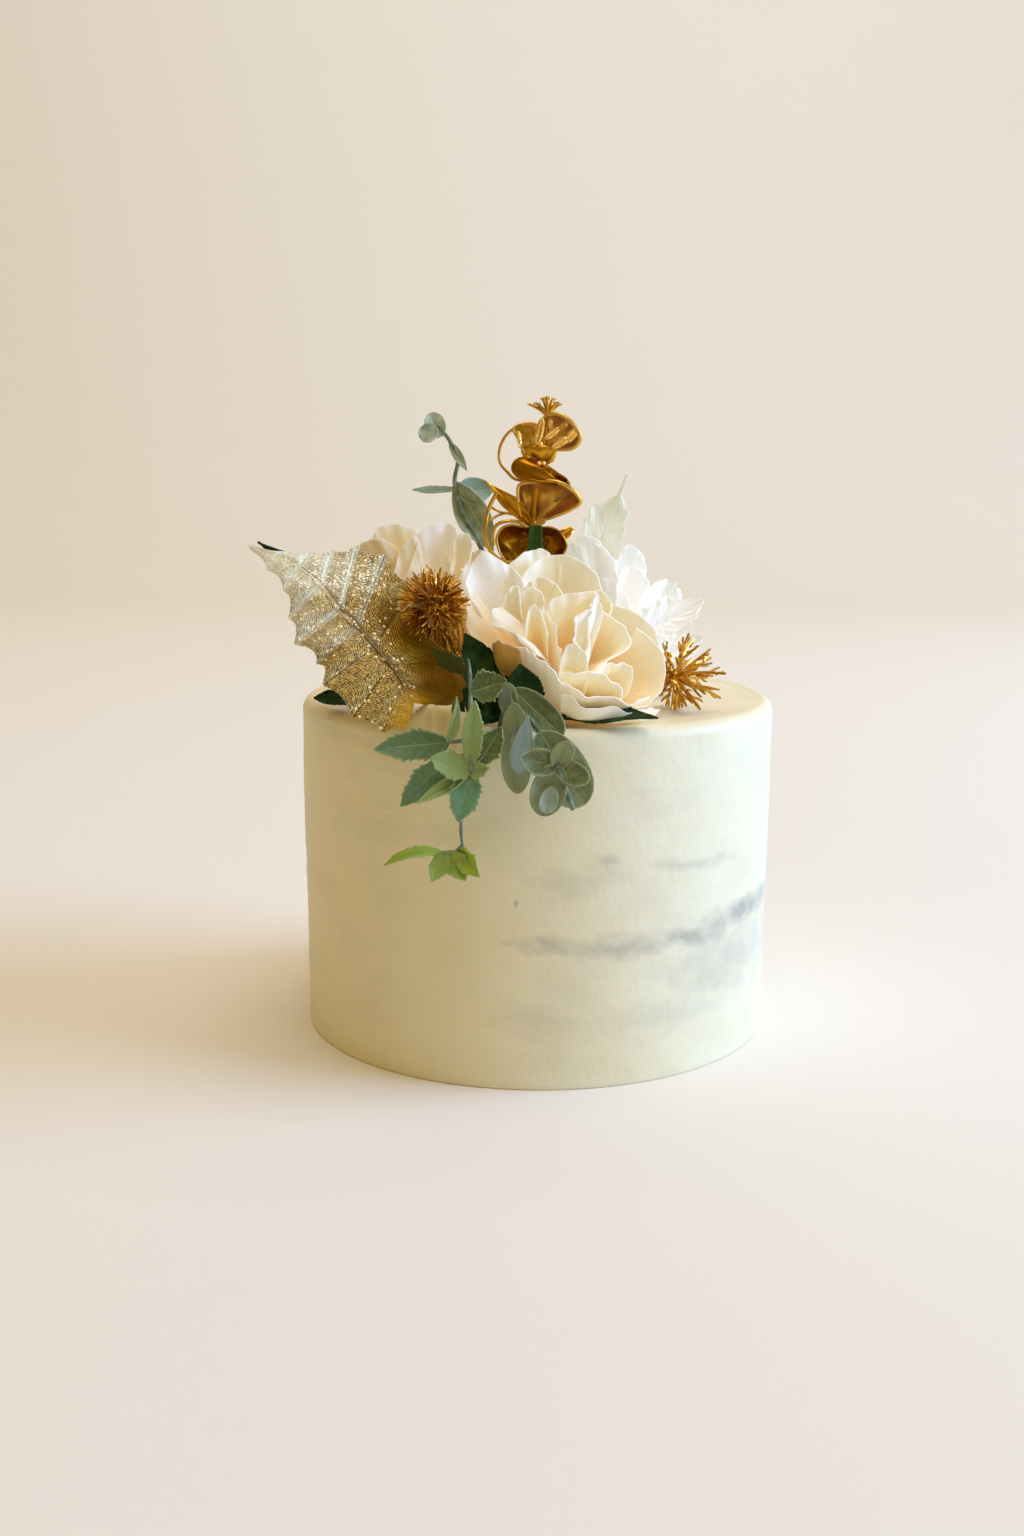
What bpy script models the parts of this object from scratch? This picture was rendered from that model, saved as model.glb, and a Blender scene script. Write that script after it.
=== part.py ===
"""A small round naked cake with its topping of artificial flowers, leaves and gilded sprigs.

Metres, +Z up. The origin is the centre of the flat foot, and the front of the cake faces -Y.
Places on the topping are written in millimetres through mm().
"""

import math
import random

import bmesh
import bpy
from mathutils import Vector

# The cake
CAKE_HEIGHT = 0.111
CAKE_FOOT_RADIUS = 0.0782
CAKE_TOP_RADIUS = 0.0790
CAKE_RIM_ROUNDING = 0.0042
CAKE_FOOT_ROUNDING = 0.0008
CAKE_RIM_STEPS = 3
CAKE_SIDES = 60

# The topping rests on the cake with this gap below it
GAP = 0.0003
BED = CAKE_HEIGHT + GAP

# Thicknesses and stems
PETAL_THICKNESS = 0.0008
LEAF_THICKNESS = 0.0008
STEM_RADIUS = 0.0011
THIN_STEM_RADIUS = 0.0008
FLOWER_STEM_RADIUS = 0.0024
STEM_SIDES = 4

# A blade wider than the first gets more columns, and one narrower than the second gets fewer rows
WIDE_BLADE = 0.0225
NARROW_BLADE = 0.0078

# A flower: its core, how far in front of its base the petals look, and how deep their feet sit in the core
CORE_RADIUS = 0.0055
FOCUS_DISTANCE = 0.040
FOOT_DEPTH_SHARE = 0.7

# The big gilded leaf
GOLD_LEAF_RIBS = 7
GOLD_LEAF_RIB_HEIGHT = 0.0011
GOLD_LEAF_BELLY = 0.004

# The dense gilded ball of spikes
BALL_RADIUS = 0.0118
BALL_CORE_RADIUS = 0.0042
BALL_STEM_RADIUS = 0.0016

# The open gilded burst: arms with one fork each, and shorter arms on the side where the rose is
BURST_REACH = 0.0155
BURST_ARMS = 17
BURST_HUB_RADIUS = 0.0026
ARM_RADIUS = 0.0007
ARM_TIP_RADIUS = 0.0004
FORK_RADIUS = 0.0005
FORK_TIP_RADIUS = 0.0003
FORK_SHARE = 0.5
SHORT_ARM_SHARE = 0.62

RANDOM_SEED = 7


def mm(x, y, z):
    return Vector((x, y, z)) * 0.001


def clear_scene():
    for thing in list(bpy.data.objects):
        bpy.data.objects.remove(thing, do_unlink=True)


def finish_of(name, colour, roughness, metallic=0.0):
    material = bpy.data.materials.new(name)
    material.use_nodes = True
    shader = material.node_tree.nodes["Principled BSDF"]
    shader.inputs["Base Color"].default_value = (*colour, 1.0)
    shader.inputs["Roughness"].default_value = roughness
    shader.inputs["Metallic"].default_value = metallic
    material.diffuse_color = (*colour, 1.0)
    return material


def smoothed(points, steps):
    """Points read from a Catmull-Rom curve through the given ones, so many steps to a span."""
    ends = [points[0] * 2 - points[1], *points, points[-1] * 2 - points[-2]]
    curve = []
    for a, b, c, d in zip(ends, ends[1:], ends[2:], ends[3:]):
        for step in range(steps):
            t = step / steps
            curve.append(
                0.5 * (2 * b + (c - a) * t + (2 * a - 5 * b + 4 * c - d) * t**2
                       + (3 * b - a - 3 * c + d) * t**3)
            )
    return [*curve, points[-1].copy()]


def along_curve(points, v):
    """The point at the share v of a smooth curve through the given points."""
    curve = smoothed(points, 8)
    place = v * (len(curve) - 1)
    first = min(int(place), len(curve) - 2)
    return curve[first].lerp(curve[first + 1], place - first)


def sheet(surface, rows, columns, thickness, crowd_tip=False):
    """A thin closed solid round surface(u, v), u from -1 to 1 and v from 0 to 1, both faces split alike."""
    shares = [j / rows for j in range(rows + 1)]
    if crowd_tip:
        shares = [math.sin(0.5 * math.pi * share) for share in shares]
    grid = [[surface(2 * i / columns - 1, v) for i in range(columns + 1)] for v in shares]
    mesh = bmesh.new()
    faces = ([], [])
    for j, row in enumerate(grid):
        above = grid[min(j + 1, rows)]
        below = grid[max(j - 1, 0)]
        for line in faces:
            line.append([])
        for i, point in enumerate(row):
            across = row[min(i + 1, columns)] - row[max(i - 1, 0)]
            normal = across.cross(above[i] - below[i]).normalized() * (0.5 * thickness)
            faces[0][j].append(mesh.verts.new(point + normal))
            faces[1][j].append(mesh.verts.new(point - normal))
    front, back = faces
    for j in range(rows):
        for i in range(columns):
            corners = [(j, i), (j, i + 1), (j + 1, i + 1), (j + 1, i)]
            for a, b, c in ((0, 1, 2), (0, 2, 3)):
                a, b, c = corners[a], corners[b], corners[c]
                mesh.faces.new([front[a[0]][a[1]], front[b[0]][b[1]], front[c[0]][c[1]]])
                mesh.faces.new([back[c[0]][c[1]], back[b[0]][b[1]], back[a[0]][a[1]]])
    edge = (
        [(0, i) for i in range(columns)]
        + [(j, columns) for j in range(rows)]
        + [(rows, columns - i) for i in range(columns)]
        + [(rows - j, 0) for j in range(rows)]
    )
    for (j, i), (n, m) in zip(edge, edge[1:] + edge[:1]):
        mesh.faces.new([front[j][i], back[j][i], back[n][m]])
        mesh.faces.new([front[j][i], back[n][m], front[n][m]])
    return mesh


def petal_outline(v):
    """Half width of a petal as a share, narrow at its foot and broad and round near its tip."""
    if v < 0.62:
        return 0.12 + 0.88 * math.sin(0.5 * math.pi * v / 0.62)
    return max(0.22, (1 - ((v - 0.62) / 0.38) ** 2.4) ** 0.5)


def leaf_outline(v):
    """Half width of a pointed leaf as a share."""
    return max(0.06, math.sin(math.pi * min(v, 0.985) ** 0.8) ** 0.85)


def disc_outline(v):
    """Half width of a round leaf as a share."""
    return max(0.18, (1 - (2 * v - 1) ** 2) ** 0.5)


def strap_outline(v):
    """Half width of a long strip as a share."""
    return 0.75 + 0.25 * math.sin(math.pi * v)


def blade(base, tip, face, width, outline, bow=0.0, cup=0.7, flare=0.0, wave=0.0, phase=0.0,
          rows=None, thickness=PETAL_THICKNESS):
    """A petal or leaf from base to tip, hollow towards face. bow bellies it out, flare turns its tip back."""
    columns = 4 if width > WIDE_BLADE else 2
    rows = rows or (3 if width > NARROW_BLADE else 2)
    chord = tip - base
    side = chord.cross(face).normalized()
    inward = side.cross(chord).normalized()

    def surface(u, v):
        half = 0.5 * width * outline(v)
        lift = half * (1 - math.cos(u * cup)) / cup - 4 * bow * v * (1 - v) - flare * v**3
        lift += wave * abs(u) * v * math.sin(3 * math.pi * u + 5 * v + phase)
        return base + chord * v + side * (half * math.sin(u * cup) / cup) + inward * lift

    crowd_tip = outline in (petal_outline, disc_outline)
    return sheet(surface, rows, columns, thickness, crowd_tip)


def above_cake(point):
    """The point, lifted onto the cake's top where it would dip into it."""
    dips = CAKE_HEIGHT - 0.003 < point.z < BED and point.xy.length < CAKE_TOP_RADIUS
    return Vector((point.x, point.y, BED)) if dips else point


def tube(points, radius, tip_radius=None, sides=STEM_SIDES):
    """A closed round rod along the points, tapering to tip_radius."""
    tip_radius = radius if tip_radius is None else tip_radius
    mesh = bmesh.new()
    heading = (points[1] - points[0]).normalized()
    normal = heading.orthogonal().normalized()
    rings = []
    for index, point in enumerate(points):
        ahead = points[min(index + 1, len(points) - 1)] - points[max(index - 1, 0)]
        ahead.normalize()
        normal = (normal - ahead * normal.dot(ahead)).normalized()
        other = ahead.cross(normal)
        size = radius + (tip_radius - radius) * index / (len(points) - 1)
        turns = [2 * math.pi * side / sides for side in range(sides)]
        rings.append([
            mesh.verts.new(above_cake(point + (normal * math.cos(turn) + other * math.sin(turn)) * size))
            for turn in turns
        ])
    for low, high in zip(rings, rings[1:]):
        for i in range(sides):
            n = (i + 1) % sides
            mesh.faces.new([low[i], low[n], high[n], high[i]])
    mesh.faces.new(rings[0][::-1])
    mesh.faces.new(rings[-1])
    return mesh


def ball(centre, radius, squash=1.0, subdivisions=2):
    mesh = bmesh.new()
    bmesh.ops.create_icosphere(mesh, subdivisions=subdivisions, radius=radius)
    for vertex in mesh.verts:
        vertex.co.z *= squash
        vertex.co += centre
    return mesh


def object_of(name, mesh, material):
    data = bpy.data.meshes.new(name)
    mesh.to_mesh(data)
    mesh.free()
    thing = bpy.data.objects.new(name, data)
    bpy.context.scene.collection.objects.link(thing)
    data.materials.append(material)
    return thing


def keep_main_body(mesh):
    """Drops loose scraps and fills sealed hollows, by keeping the largest of the connected shells."""
    work = bmesh.new()
    work.from_mesh(mesh)
    unseen = set(work.faces)
    shells = []
    while unseen:
        shell = {unseen.pop()}
        edge_of_shell = list(shell)
        while edge_of_shell:
            face = edge_of_shell.pop()
            for edge in face.edges:
                for other in edge.link_faces:
                    if other in unseen:
                        unseen.discard(other)
                        shell.add(other)
                        edge_of_shell.append(other)
        shells.append(shell)
    shells.sort(key=len)
    for shell in shells[:-1]:
        bmesh.ops.delete(work, geom=list(shell), context="FACES")
    work.to_mesh(mesh)
    work.free()


def fuse(name, pieces, material, solver="EXACT"):
    """One solid from overlapping pieces, by one Boolean union of the first with a collection of the others.

    Where many thin sheets meet, EXACT leaves some of them unjoined, and MANIFOLD joins them all.
    """
    first = object_of(name, pieces[0], material)
    others = bpy.data.collections.new(name + "_pieces")
    for piece in pieces[1:]:
        other = object_of(name + "_piece", piece, material)
        bpy.context.scene.collection.objects.unlink(other)
        others.objects.link(other)
    join = first.modifiers.new("join", "BOOLEAN")
    join.operation = "UNION"
    join.operand_type = "COLLECTION"
    join.collection = others
    join.solver = solver
    graph = bpy.context.evaluated_depsgraph_get()
    joined = bpy.data.meshes.new_from_object(first.evaluated_get(graph))
    keep_main_body(joined)
    first.modifiers.clear()
    first.data = joined
    for other in list(others.objects):
        bpy.data.objects.remove(other, do_unlink=True)
    bpy.data.collections.remove(others)
    return first


def make_cake(material):
    """The frosted drum, turned round its axis: a flat foot, a slightly flared side and a rounded top rim."""
    profile = [(CAKE_FOOT_RADIUS - CAKE_FOOT_ROUNDING, 0.0), (CAKE_FOOT_RADIUS, CAKE_FOOT_ROUNDING)]
    rim_centre = (CAKE_TOP_RADIUS - CAKE_RIM_ROUNDING, CAKE_HEIGHT - CAKE_RIM_ROUNDING)
    for step in range(CAKE_RIM_STEPS + 1):
        turn = 0.5 * math.pi * step / CAKE_RIM_STEPS
        profile.append((
            rim_centre[0] + CAKE_RIM_ROUNDING * math.cos(turn),
            rim_centre[1] + CAKE_RIM_ROUNDING * math.sin(turn),
        ))
    mesh = bmesh.new()
    rings = []
    for radius, height in profile:
        turns = [2 * math.pi * side / CAKE_SIDES for side in range(CAKE_SIDES)]
        rings.append([
            mesh.verts.new((radius * math.cos(turn), radius * math.sin(turn), height)) for turn in turns
        ])
    for low, high in zip(rings, rings[1:]):
        for i in range(CAKE_SIDES):
            n = (i + 1) % CAKE_SIDES
            mesh.faces.new([low[i], low[n], high[n], high[i]])
    mesh.faces.new(rings[0][::-1])
    mesh.faces.new(rings[-1])
    cake = object_of("cake", mesh, material)
    cake.data.shade_smooth()
    cake.data.set_sharp_from_angle(angle=math.radians(50))
    return cake


def bloom(name, base, axis, petals, stem, material):
    """A flower: a core on its base, petals from the core to their tips, and a stem down to the cake."""
    focus = base + axis.normalized() * FOCUS_DISTANCE
    pieces = [ball(base, CORE_RADIUS, subdivisions=1)]
    for index, (tip, width, bow, cup, flare, lift) in enumerate(petals):
        towards = (tip - base).normalized() + axis.normalized() * (lift / CORE_RADIUS)
        foot = base + towards.normalized() * (FOOT_DEPTH_SHARE * CORE_RADIUS)
        face = focus - foot.lerp(tip, 0.6)
        pieces.append(blade(
            foot, tip, face, width, petal_outline, bow=bow, cup=cup, flare=flare,
            wave=0.05 * width, phase=1.7 * index,
        ))
    pieces.append(tube(smoothed(stem, 2), FLOWER_STEM_RADIUS))
    return fuse(name, pieces, material, solver="MANIFOLD")


def ring_of_petals(base, axis, count, reach, height, width, start, bow, cup, flare, lift):
    """Petals set evenly round a flower's axis, as rows for bloom()."""
    axis = axis.normalized()
    right = axis.orthogonal().normalized()
    up = axis.cross(right)
    rows = []
    for index in range(count):
        turn = start + 2 * math.pi * index / count
        uneven = 1 + 0.10 * math.sin(5.1 * index + 10 * start)
        out = right * math.cos(turn) + up * math.sin(turn)
        tip = base + out * (reach * uneven) + axis * (height / uneven)
        rows.append((tip, width * uneven, bow, cup, flare, lift))
    return rows


def make_front_rose(material):
    """The big cream rose at the front, which faces up, forward and a little right."""
    base = mm(5, -34, 121)
    axis = Vector((0.28, -0.75, 0.6))
    petals = [
        # tip, width, bow, cup, flare, lift: the outer petals, from the upper left round by the top
        (mm(-17.5, -43, 159), 0.024, 0.003, 0.7, 0.002, 0.0),
        (mm(-1, -19, 159), 0.022, 0.002, 0.6, 0.003, 0.0),
        (mm(15.5, -22, 155), 0.026, 0.003, 0.7, 0.003, 0.0),
        (mm(34, -32, 140), 0.022, 0.003, 0.7, 0.003, 0.0),
        (mm(39, -46, 125.5), 0.023, 0.003, 0.8, 0.002, 0.0),
        (mm(36.5, -59, 114.4), 0.016, 0.001, 0.4, 0.000, 0.0),
        (mm(17, -71, 120.5), 0.026, 0.005, 0.6, -0.002, 0.0),
        (mm(-3.5, -71, 130), 0.028, 0.008, 0.7, -0.002, 0.0),
        (mm(-10, -62, 124), 0.015, 0.003, 0.6, 0.001, 0.0),
        (mm(-20.5, -57, 137), 0.025, 0.005, 0.8, 0.002, 0.0),
        # the middle petals, which stand more upright
        (mm(2, -37, 151.5), 0.017, 0.002, 0.9, 0.001, 0.004),
        (mm(16.5, -44, 147.5), 0.018, 0.002, 0.7, 0.001, 0.004),
        (mm(26, -46, 141), 0.019, 0.003, 0.9, 0.001, 0.004),
        (mm(30.5, -53, 131), 0.019, 0.003, 0.9, 0.001, 0.004),
        (mm(28, -62, 121), 0.017, 0.003, 0.8, 0.000, 0.004),
        (mm(10, -69, 128), 0.019, 0.004, 0.7, -0.001, 0.004),
        (mm(-9, -63, 140), 0.020, 0.004, 0.7, 0.000, 0.004),
        # the heart: narrow, upright and folded
        (mm(-8, -53, 147), 0.013, 0.001, 1.3, 0.000, 0.006),
        (mm(0.5, -51, 148.5), 0.012, 0.001, 1.4, 0.000, 0.006),
        (mm(13, -57, 147), 0.010, 0.001, 1.2, 0.000, 0.006),
        (mm(20.5, -57, 140), 0.013, 0.001, 1.2, 0.000, 0.006),
        (mm(19.5, -66, 131), 0.013, 0.001, 1.0, 0.000, 0.006),
        (mm(9.5, -70, 136), 0.010, 0.001, 1.2, 0.000, 0.006),
        (mm(2, -62, 143), 0.011, 0.001, 1.2, 0.000, 0.006),
    ]
    stem = [base, mm(4, -30, 116), Vector((0.004, -0.028, BED))]
    return bloom("rose_front", base, axis, petals, stem, material)


def make_back_rose(material):
    """The second cream rose, behind the gold leaf on the left."""
    base = mm(-28, 0, 124)
    axis = Vector((-0.25, -0.4, 0.88))
    petals = [
        (mm(-51, -8, 164.5), 0.025, 0.004, 0.7, 0.003, 0.0),
        (mm(-43, 3, 165.5), 0.024, 0.003, 0.7, 0.003, 0.0),
        (mm(-33, 4, 167), 0.022, 0.003, 0.7, 0.002, 0.0),
        (mm(-22, 2, 163), 0.016, 0.002, 0.8, 0.002, 0.0),
        (mm(-17, -6, 155), 0.015, 0.003, 0.8, 0.002, 0.0),
        (mm(-18, -18, 145), 0.018, 0.004, 0.7, 0.002, 0.0),
        (mm(-31, -24, 146), 0.020, 0.005, 0.7, 0.001, 0.0),
        (mm(-49, -20, 149), 0.022, 0.005, 0.7, 0.002, 0.0),
        (mm(-57, -8, 155), 0.024, 0.005, 0.7, 0.003, 0.0),
        (mm(-44, 17, 150), 0.022, 0.004, 0.7, 0.004, 0.0),
    ]
    petals += ring_of_petals(base, axis, 4, 0.013, 0.036, 0.0180, 0.4, 0.003, 1.0, 0.001, 0.002)
    petals += ring_of_petals(base, axis, 2, 0.004, 0.033, 0.011, 1.1, 0.002, 1.3, 0.000, 0.003)
    stem = [base, mm(-26.5, 2, 117), Vector((-0.025, 0.004, BED))]
    return bloom("rose_back", base, axis, petals, stem, material)


def make_white_flower(material):
    """The looser white flower at the back on the right."""
    base = mm(28, 17, 122)
    axis = Vector((0.15, -0.25, 0.95))
    petals = [
        (mm(9.5, 1, 158), 0.018, 0.003, 0.6, 0.001, 0.0),
        (mm(18, 8, 164.5), 0.021, 0.002, 0.6, 0.002, 0.0),
        (mm(26, 10, 162), 0.020, 0.002, 0.6, 0.002, 0.0),
        (mm(33, 16, 160), 0.021, 0.002, 0.7, 0.003, 0.0),
        (mm(40, 15, 155), 0.022, 0.003, 0.7, 0.003, 0.0),
        (mm(43, 5, 146), 0.020, 0.003, 0.6, 0.002, 0.0),
        (mm(34, 36, 149), 0.022, 0.003, 0.7, 0.003, 0.0),
        (mm(47, 26, 146), 0.022, 0.003, 0.7, 0.003, 0.0),
    ]
    petals += ring_of_petals(base, axis, 3, 0.010, 0.032, 0.0170, 0.9, 0.003, 0.9, 0.001, 0.002)
    petals += ring_of_petals(base, axis, 2, 0.003, 0.029, 0.010, 0.2, 0.002, 1.2, 0.000, 0.003)
    stem = [base, mm(27.5, 18, 116), Vector((0.027, 0.019, BED))]
    return bloom("flower_white", base, axis, petals, stem, material)


def make_gold_leaf(material):
    """The big gilded leaf that leans over the front rim: a ruffled sheet between a midrib and two edges."""
    midrib = [mm(-35, -77, 114.5), mm(-38.6, -74, 124.4), mm(-48.4, -69, 134.9), mm(-63.1, -61, 145.8),
              mm(-78.7, -51, 158.1), mm(-90.1, -46, 161.4)]
    lower = [mm(-37, -81, 112.5), mm(-46, -87, 113), mm(-57, -84, 120.1), mm(-63.5, -77, 129.8),
             mm(-72, -68, 137.5), mm(-75.5, -59, 147.4), mm(-82, -52, 154.5), mm(-90.4, -46, 161.0)]
    upper = [mm(-33, -73, 115.5), mm(-28.5, -58, 122), mm(-33.5, -43, 134), mm(-45, -36, 147),
             mm(-57, -38, 159), mm(-68, -42, 160.5), mm(-78, -45, 160.6), mm(-90, -46, 161.8)]

    def surface(u, v):
        middle = along_curve(midrib, v)
        edge = along_curve(lower if u < 0 else upper, v)
        point = middle.lerp(edge, abs(u))
        rib = math.sin(2 * math.pi * (GOLD_LEAF_RIBS * v - 2.2 * abs(u))) * min(1.0, 2 * abs(u))
        belly = abs(u) * (1 - abs(u))
        point.y += (GOLD_LEAF_RIB_HEIGHT * rib - GOLD_LEAF_BELLY * belly) * math.sin(math.pi * v)
        return point

    leaf = sheet(surface, 20, 6, LEAF_THICKNESS)
    return fuse("leaf_gold", [leaf, tube(smoothed([
        mm(-35, -76.5, 118), mm(-33, -70, 113.6), Vector((-0.032, -0.060, BED + STEM_RADIUS)),
    ], 2), STEM_RADIUS)], material)


def make_silver_leaves(material):
    """The pale glittering leaves: one at the back that points up, and one on the right that leans right."""
    up_leaf = blade(mm(11, 31, 140), mm(31, 37, 183), Vector((-0.2, -1, 0.1)), 0.017, leaf_outline,
                    bow=0.002, cup=0.4, wave=0.001, rows=8, thickness=LEAF_THICKNESS)
    up_stem = [mm(11.4, 31.1, 141), mm(11, 30, 126), Vector((0.011, 0.029, BED))]
    fuse("leaf_silver_up", [up_leaf, tube(smoothed(up_stem, 2), STEM_RADIUS)], material)
    side_leaf = blade(mm(43, -12, 122), mm(57, 2, 143.5), Vector((-0.4, -1, 0.4)), 0.021, leaf_outline,
                      bow=0.002, cup=0.4, wave=0.001, rows=6, thickness=LEAF_THICKNESS)
    side_stem = [mm(43, -12, 123), mm(42, -12, 116), Vector((0.041, -0.011, BED))]
    fuse("leaf_silver_side", [side_leaf, tube(smoothed(side_stem, 2), STEM_RADIUS)], material)


def make_spiky_ball(material):
    """The dense gilded ball: every face of a small core drawn out into a spike, with a tuft below it."""
    centre = mm(-31.6, -57, 145)
    draw = random.Random(RANDOM_SEED)
    mesh = ball(centre, BALL_CORE_RADIUS, subdivisions=3)
    for face in list(mesh.faces):
        out = (face.calc_center_median() - centre).normalized()
        wobble = Vector([draw.uniform(-0.10, 0.10) for _ in range(3)])
        reach = BALL_RADIUS * draw.uniform(0.84, 1.0)
        top = bmesh.ops.poke(mesh, faces=[face])["verts"][0]
        top.co = centre + (out + wobble).normalized() * reach
    stem = [centre, mm(-26.5, -56, 131), mm(-24, -52, 120), Vector((-0.023, -0.050, BED))]
    return fuse("spiky_ball", [mesh, tube(smoothed(stem, 2), BALL_STEM_RADIUS)], material)


def make_spiky_burst(material):
    """The open gilded burst on the right: forked arms round a hub that stands on the cake."""
    hub = mm(45, -39, 123.5)
    draw = random.Random(RANDOM_SEED + 1)
    pieces = [ball(hub, BURST_HUB_RADIUS, subdivisions=1)]
    lowest = BED + 2 * FORK_TIP_RADIUS
    for index in range(BURST_ARMS):
        height = 1 - 2 * (index + 0.5) / BURST_ARMS
        turn = index * math.pi * (3 - math.sqrt(5))
        flat = math.sqrt(1 - height**2)
        out = Vector((flat * math.cos(turn), flat * math.sin(turn), height))
        reach = BURST_REACH * draw.uniform(0.82, 1.0)
        if out.x < -0.25:
            reach *= SHORT_ARM_SHARE
        if out.z < 0:
            reach = min(reach, (hub.z - lowest) / -out.z)
        root = hub + out * (0.7 * BURST_HUB_RADIUS)
        pieces.append(tube([root, hub + out * reach], ARM_RADIUS, ARM_TIP_RADIUS, sides=3))
        aside = out.orthogonal().normalized()
        swing = aside * math.cos(index) + out.cross(aside) * math.sin(index)
        fork = hub + out * (reach * FORK_SHARE)
        end = fork + (out * 0.8 + swing * 0.6) * (reach * (1 - FORK_SHARE) * 0.92)
        if end.z > lowest:
            pieces.append(tube([fork, end], FORK_RADIUS, FORK_TIP_RADIUS, sides=3))
    pieces.append(tube([hub, Vector((hub.x, hub.y, BED))], THIN_STEM_RADIUS))
    return fuse("spiky_burst", pieces, material)


def make_gold_spray(material):
    """The tall gilded sprig: a stem with round curled leaves, two hoops and a burst on top."""
    stem = [Vector((0.001, 0.008, BED)), mm(0, 5, 135), mm(-2, 1, 156), mm(-2, 0, 166.5), mm(0, 0, 184.8),
            mm(2, 0, 194), mm(2.4, 0, 203)]
    pieces = [tube(stem, 0.0013, 0.0009)]
    front = Vector((0, -1, 0.2))
    leaves = [
        # base, tip, face, width, bow, cup
        (mm(1.5, 0, 195), mm(11, -2.5, 199), Vector((-0.2, -1, 0.6)), 0.011, 0.0015, 1.0),
        (mm(0.5, 0, 187), mm(-6, -2, 198.5), front, 0.009, 0.001, 1.0),
        (mm(0.5, 0, 187), mm(5, -2, 196), front, 0.009, 0.001, 1.0),
        (mm(-9.5, -3.5, 186), mm(12.5, -6, 177.5), Vector((0.1, -0.9, -0.5)), 0.0072, 0.0005, 0.7),
        (mm(-2, -1, 166.5), mm(9.5, -8, 180), Vector((-0.4, -0.7, 0.7)), 0.017, 0.001, 0.9),
        (mm(-2, -1, 166.5), mm(-16.5, 2, 180.5), front, 0.0065, 0.001, 0.8),
        (mm(-1.5, -2, 164), mm(-13, -7, 158), Vector((0, -1, 0.1)), 0.0115, 0.001, 0.4),
        (mm(-1, -2, 164), mm(9, -5, 158.5), Vector((0, -1, 0.1)), 0.010, 0.001, 0.4),
    ]
    for base, tip, face, width, bow, cup in leaves:
        pieces.append(blade(base, tip, face, width, disc_outline, bow=bow, cup=cup,
                            thickness=LEAF_THICKNESS))
    hoops = [
        [mm(0, 0, 184), mm(-7.6, -0.5, 181.8), mm(-11, 0, 184), mm(-13.2, 0, 190), mm(-12, 0, 194.5),
         mm(-8, 0, 198.5), mm(-3, -1, 199.5), mm(2, 0, 198)],
        [mm(-2, 0, 167), mm(-6, -2, 170.3), mm(-11, -2, 170.7), mm(-16, -3, 168.5), mm(-17.6, -4, 164.5),
         mm(-15.5, -6, 159.3), mm(-11, -7, 155.8), mm(-5, -5, 155.5), mm(-2, 0.5, 157)],
        [mm(-17, -2.5, 169), mm(-17, -1, 173), mm(-14.6, 0.5, 177)],
    ]
    for hoop in hoops:
        pieces.append(tube(hoop, THIN_STEM_RADIUS, sides=3))
    top = mm(2.4, 0, 202)
    for tip in (mm(-3.5, 0, 206), mm(-0.6, 1.5, 207.6), mm(2.3, -1, 208.7), mm(5, 1, 208.1), mm(6.6, 0, 206)):
        pieces.append(tube([top, tip], ARM_RADIUS, ARM_TIP_RADIUS, sides=3))
    return fuse("spray_gold", pieces, material)


def make_sprig(name, stems, leaves, material, stem_radius=STEM_RADIUS):
    """A sprig: stems, and leaves whose rows are base, tip, face, width, outline, bow and cup."""
    pieces = [tube(smoothed(points, 2), stem_radius, stem_radius * 0.7, sides=3) for points in stems]
    for index, (base, tip, face, width, outline, bow, cup) in enumerate(leaves):
        start = base - (tip - base).normalized() * (0.6 * stem_radius)
        pieces.append(blade(start, tip, face, width, outline, bow=bow, cup=cup, wave=0.04 * width,
                            phase=index, thickness=LEAF_THICKNESS))
    return fuse(name, pieces, material, solver="MANIFOLD")


def make_back_sprig(material):
    """The green sprig that stands behind the roses, with two round buds at its top."""
    front = Vector((0, -1, 0.2))
    stem = [Vector((-0.008, 0.016, BED)), mm(-11, 15, 135), mm(-18.5, 13, 156), mm(-25.5, 12, 170),
            mm(-28.5, 12, 180), mm(-27.4, 12, 188), mm(-30, 12, 194), mm(-34, 12, 199)]
    leaves = [
        (mm(-30, 12, 193.5), mm(-24.3, 10, 184.5), front, 0.0034, leaf_outline, 0.0005, 0.4),
        (mm(-28.2, 12, 178.3), mm(-42.5, 9, 178), Vector((0, -0.7, 0.7)), 0.0036, leaf_outline, 0.0005, 0.5),
        (mm(-27.8, 12, 180), mm(-15.5, 12, 157.5), Vector((-0.5, -1, 0)), 0.0125, leaf_outline, 0.001, 0.7),
        (mm(-27.5, 12, 177), mm(-15, 16, 178.5), front, 0.010, leaf_outline, 0.001, 0.6),
        (mm(-33.5, 12, 196), mm(-36.5, 11.5, 203.2), front, 0.0072, disc_outline, 0.0, 0.5),
        (mm(-35, 10.8, 198.5), mm(-39.6, 10, 194.6), front, 0.0066, disc_outline, 0.0, 0.5),
    ]
    return make_sprig("sprig_back", [stem], leaves, material, stem_radius=0.0009)


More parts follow.
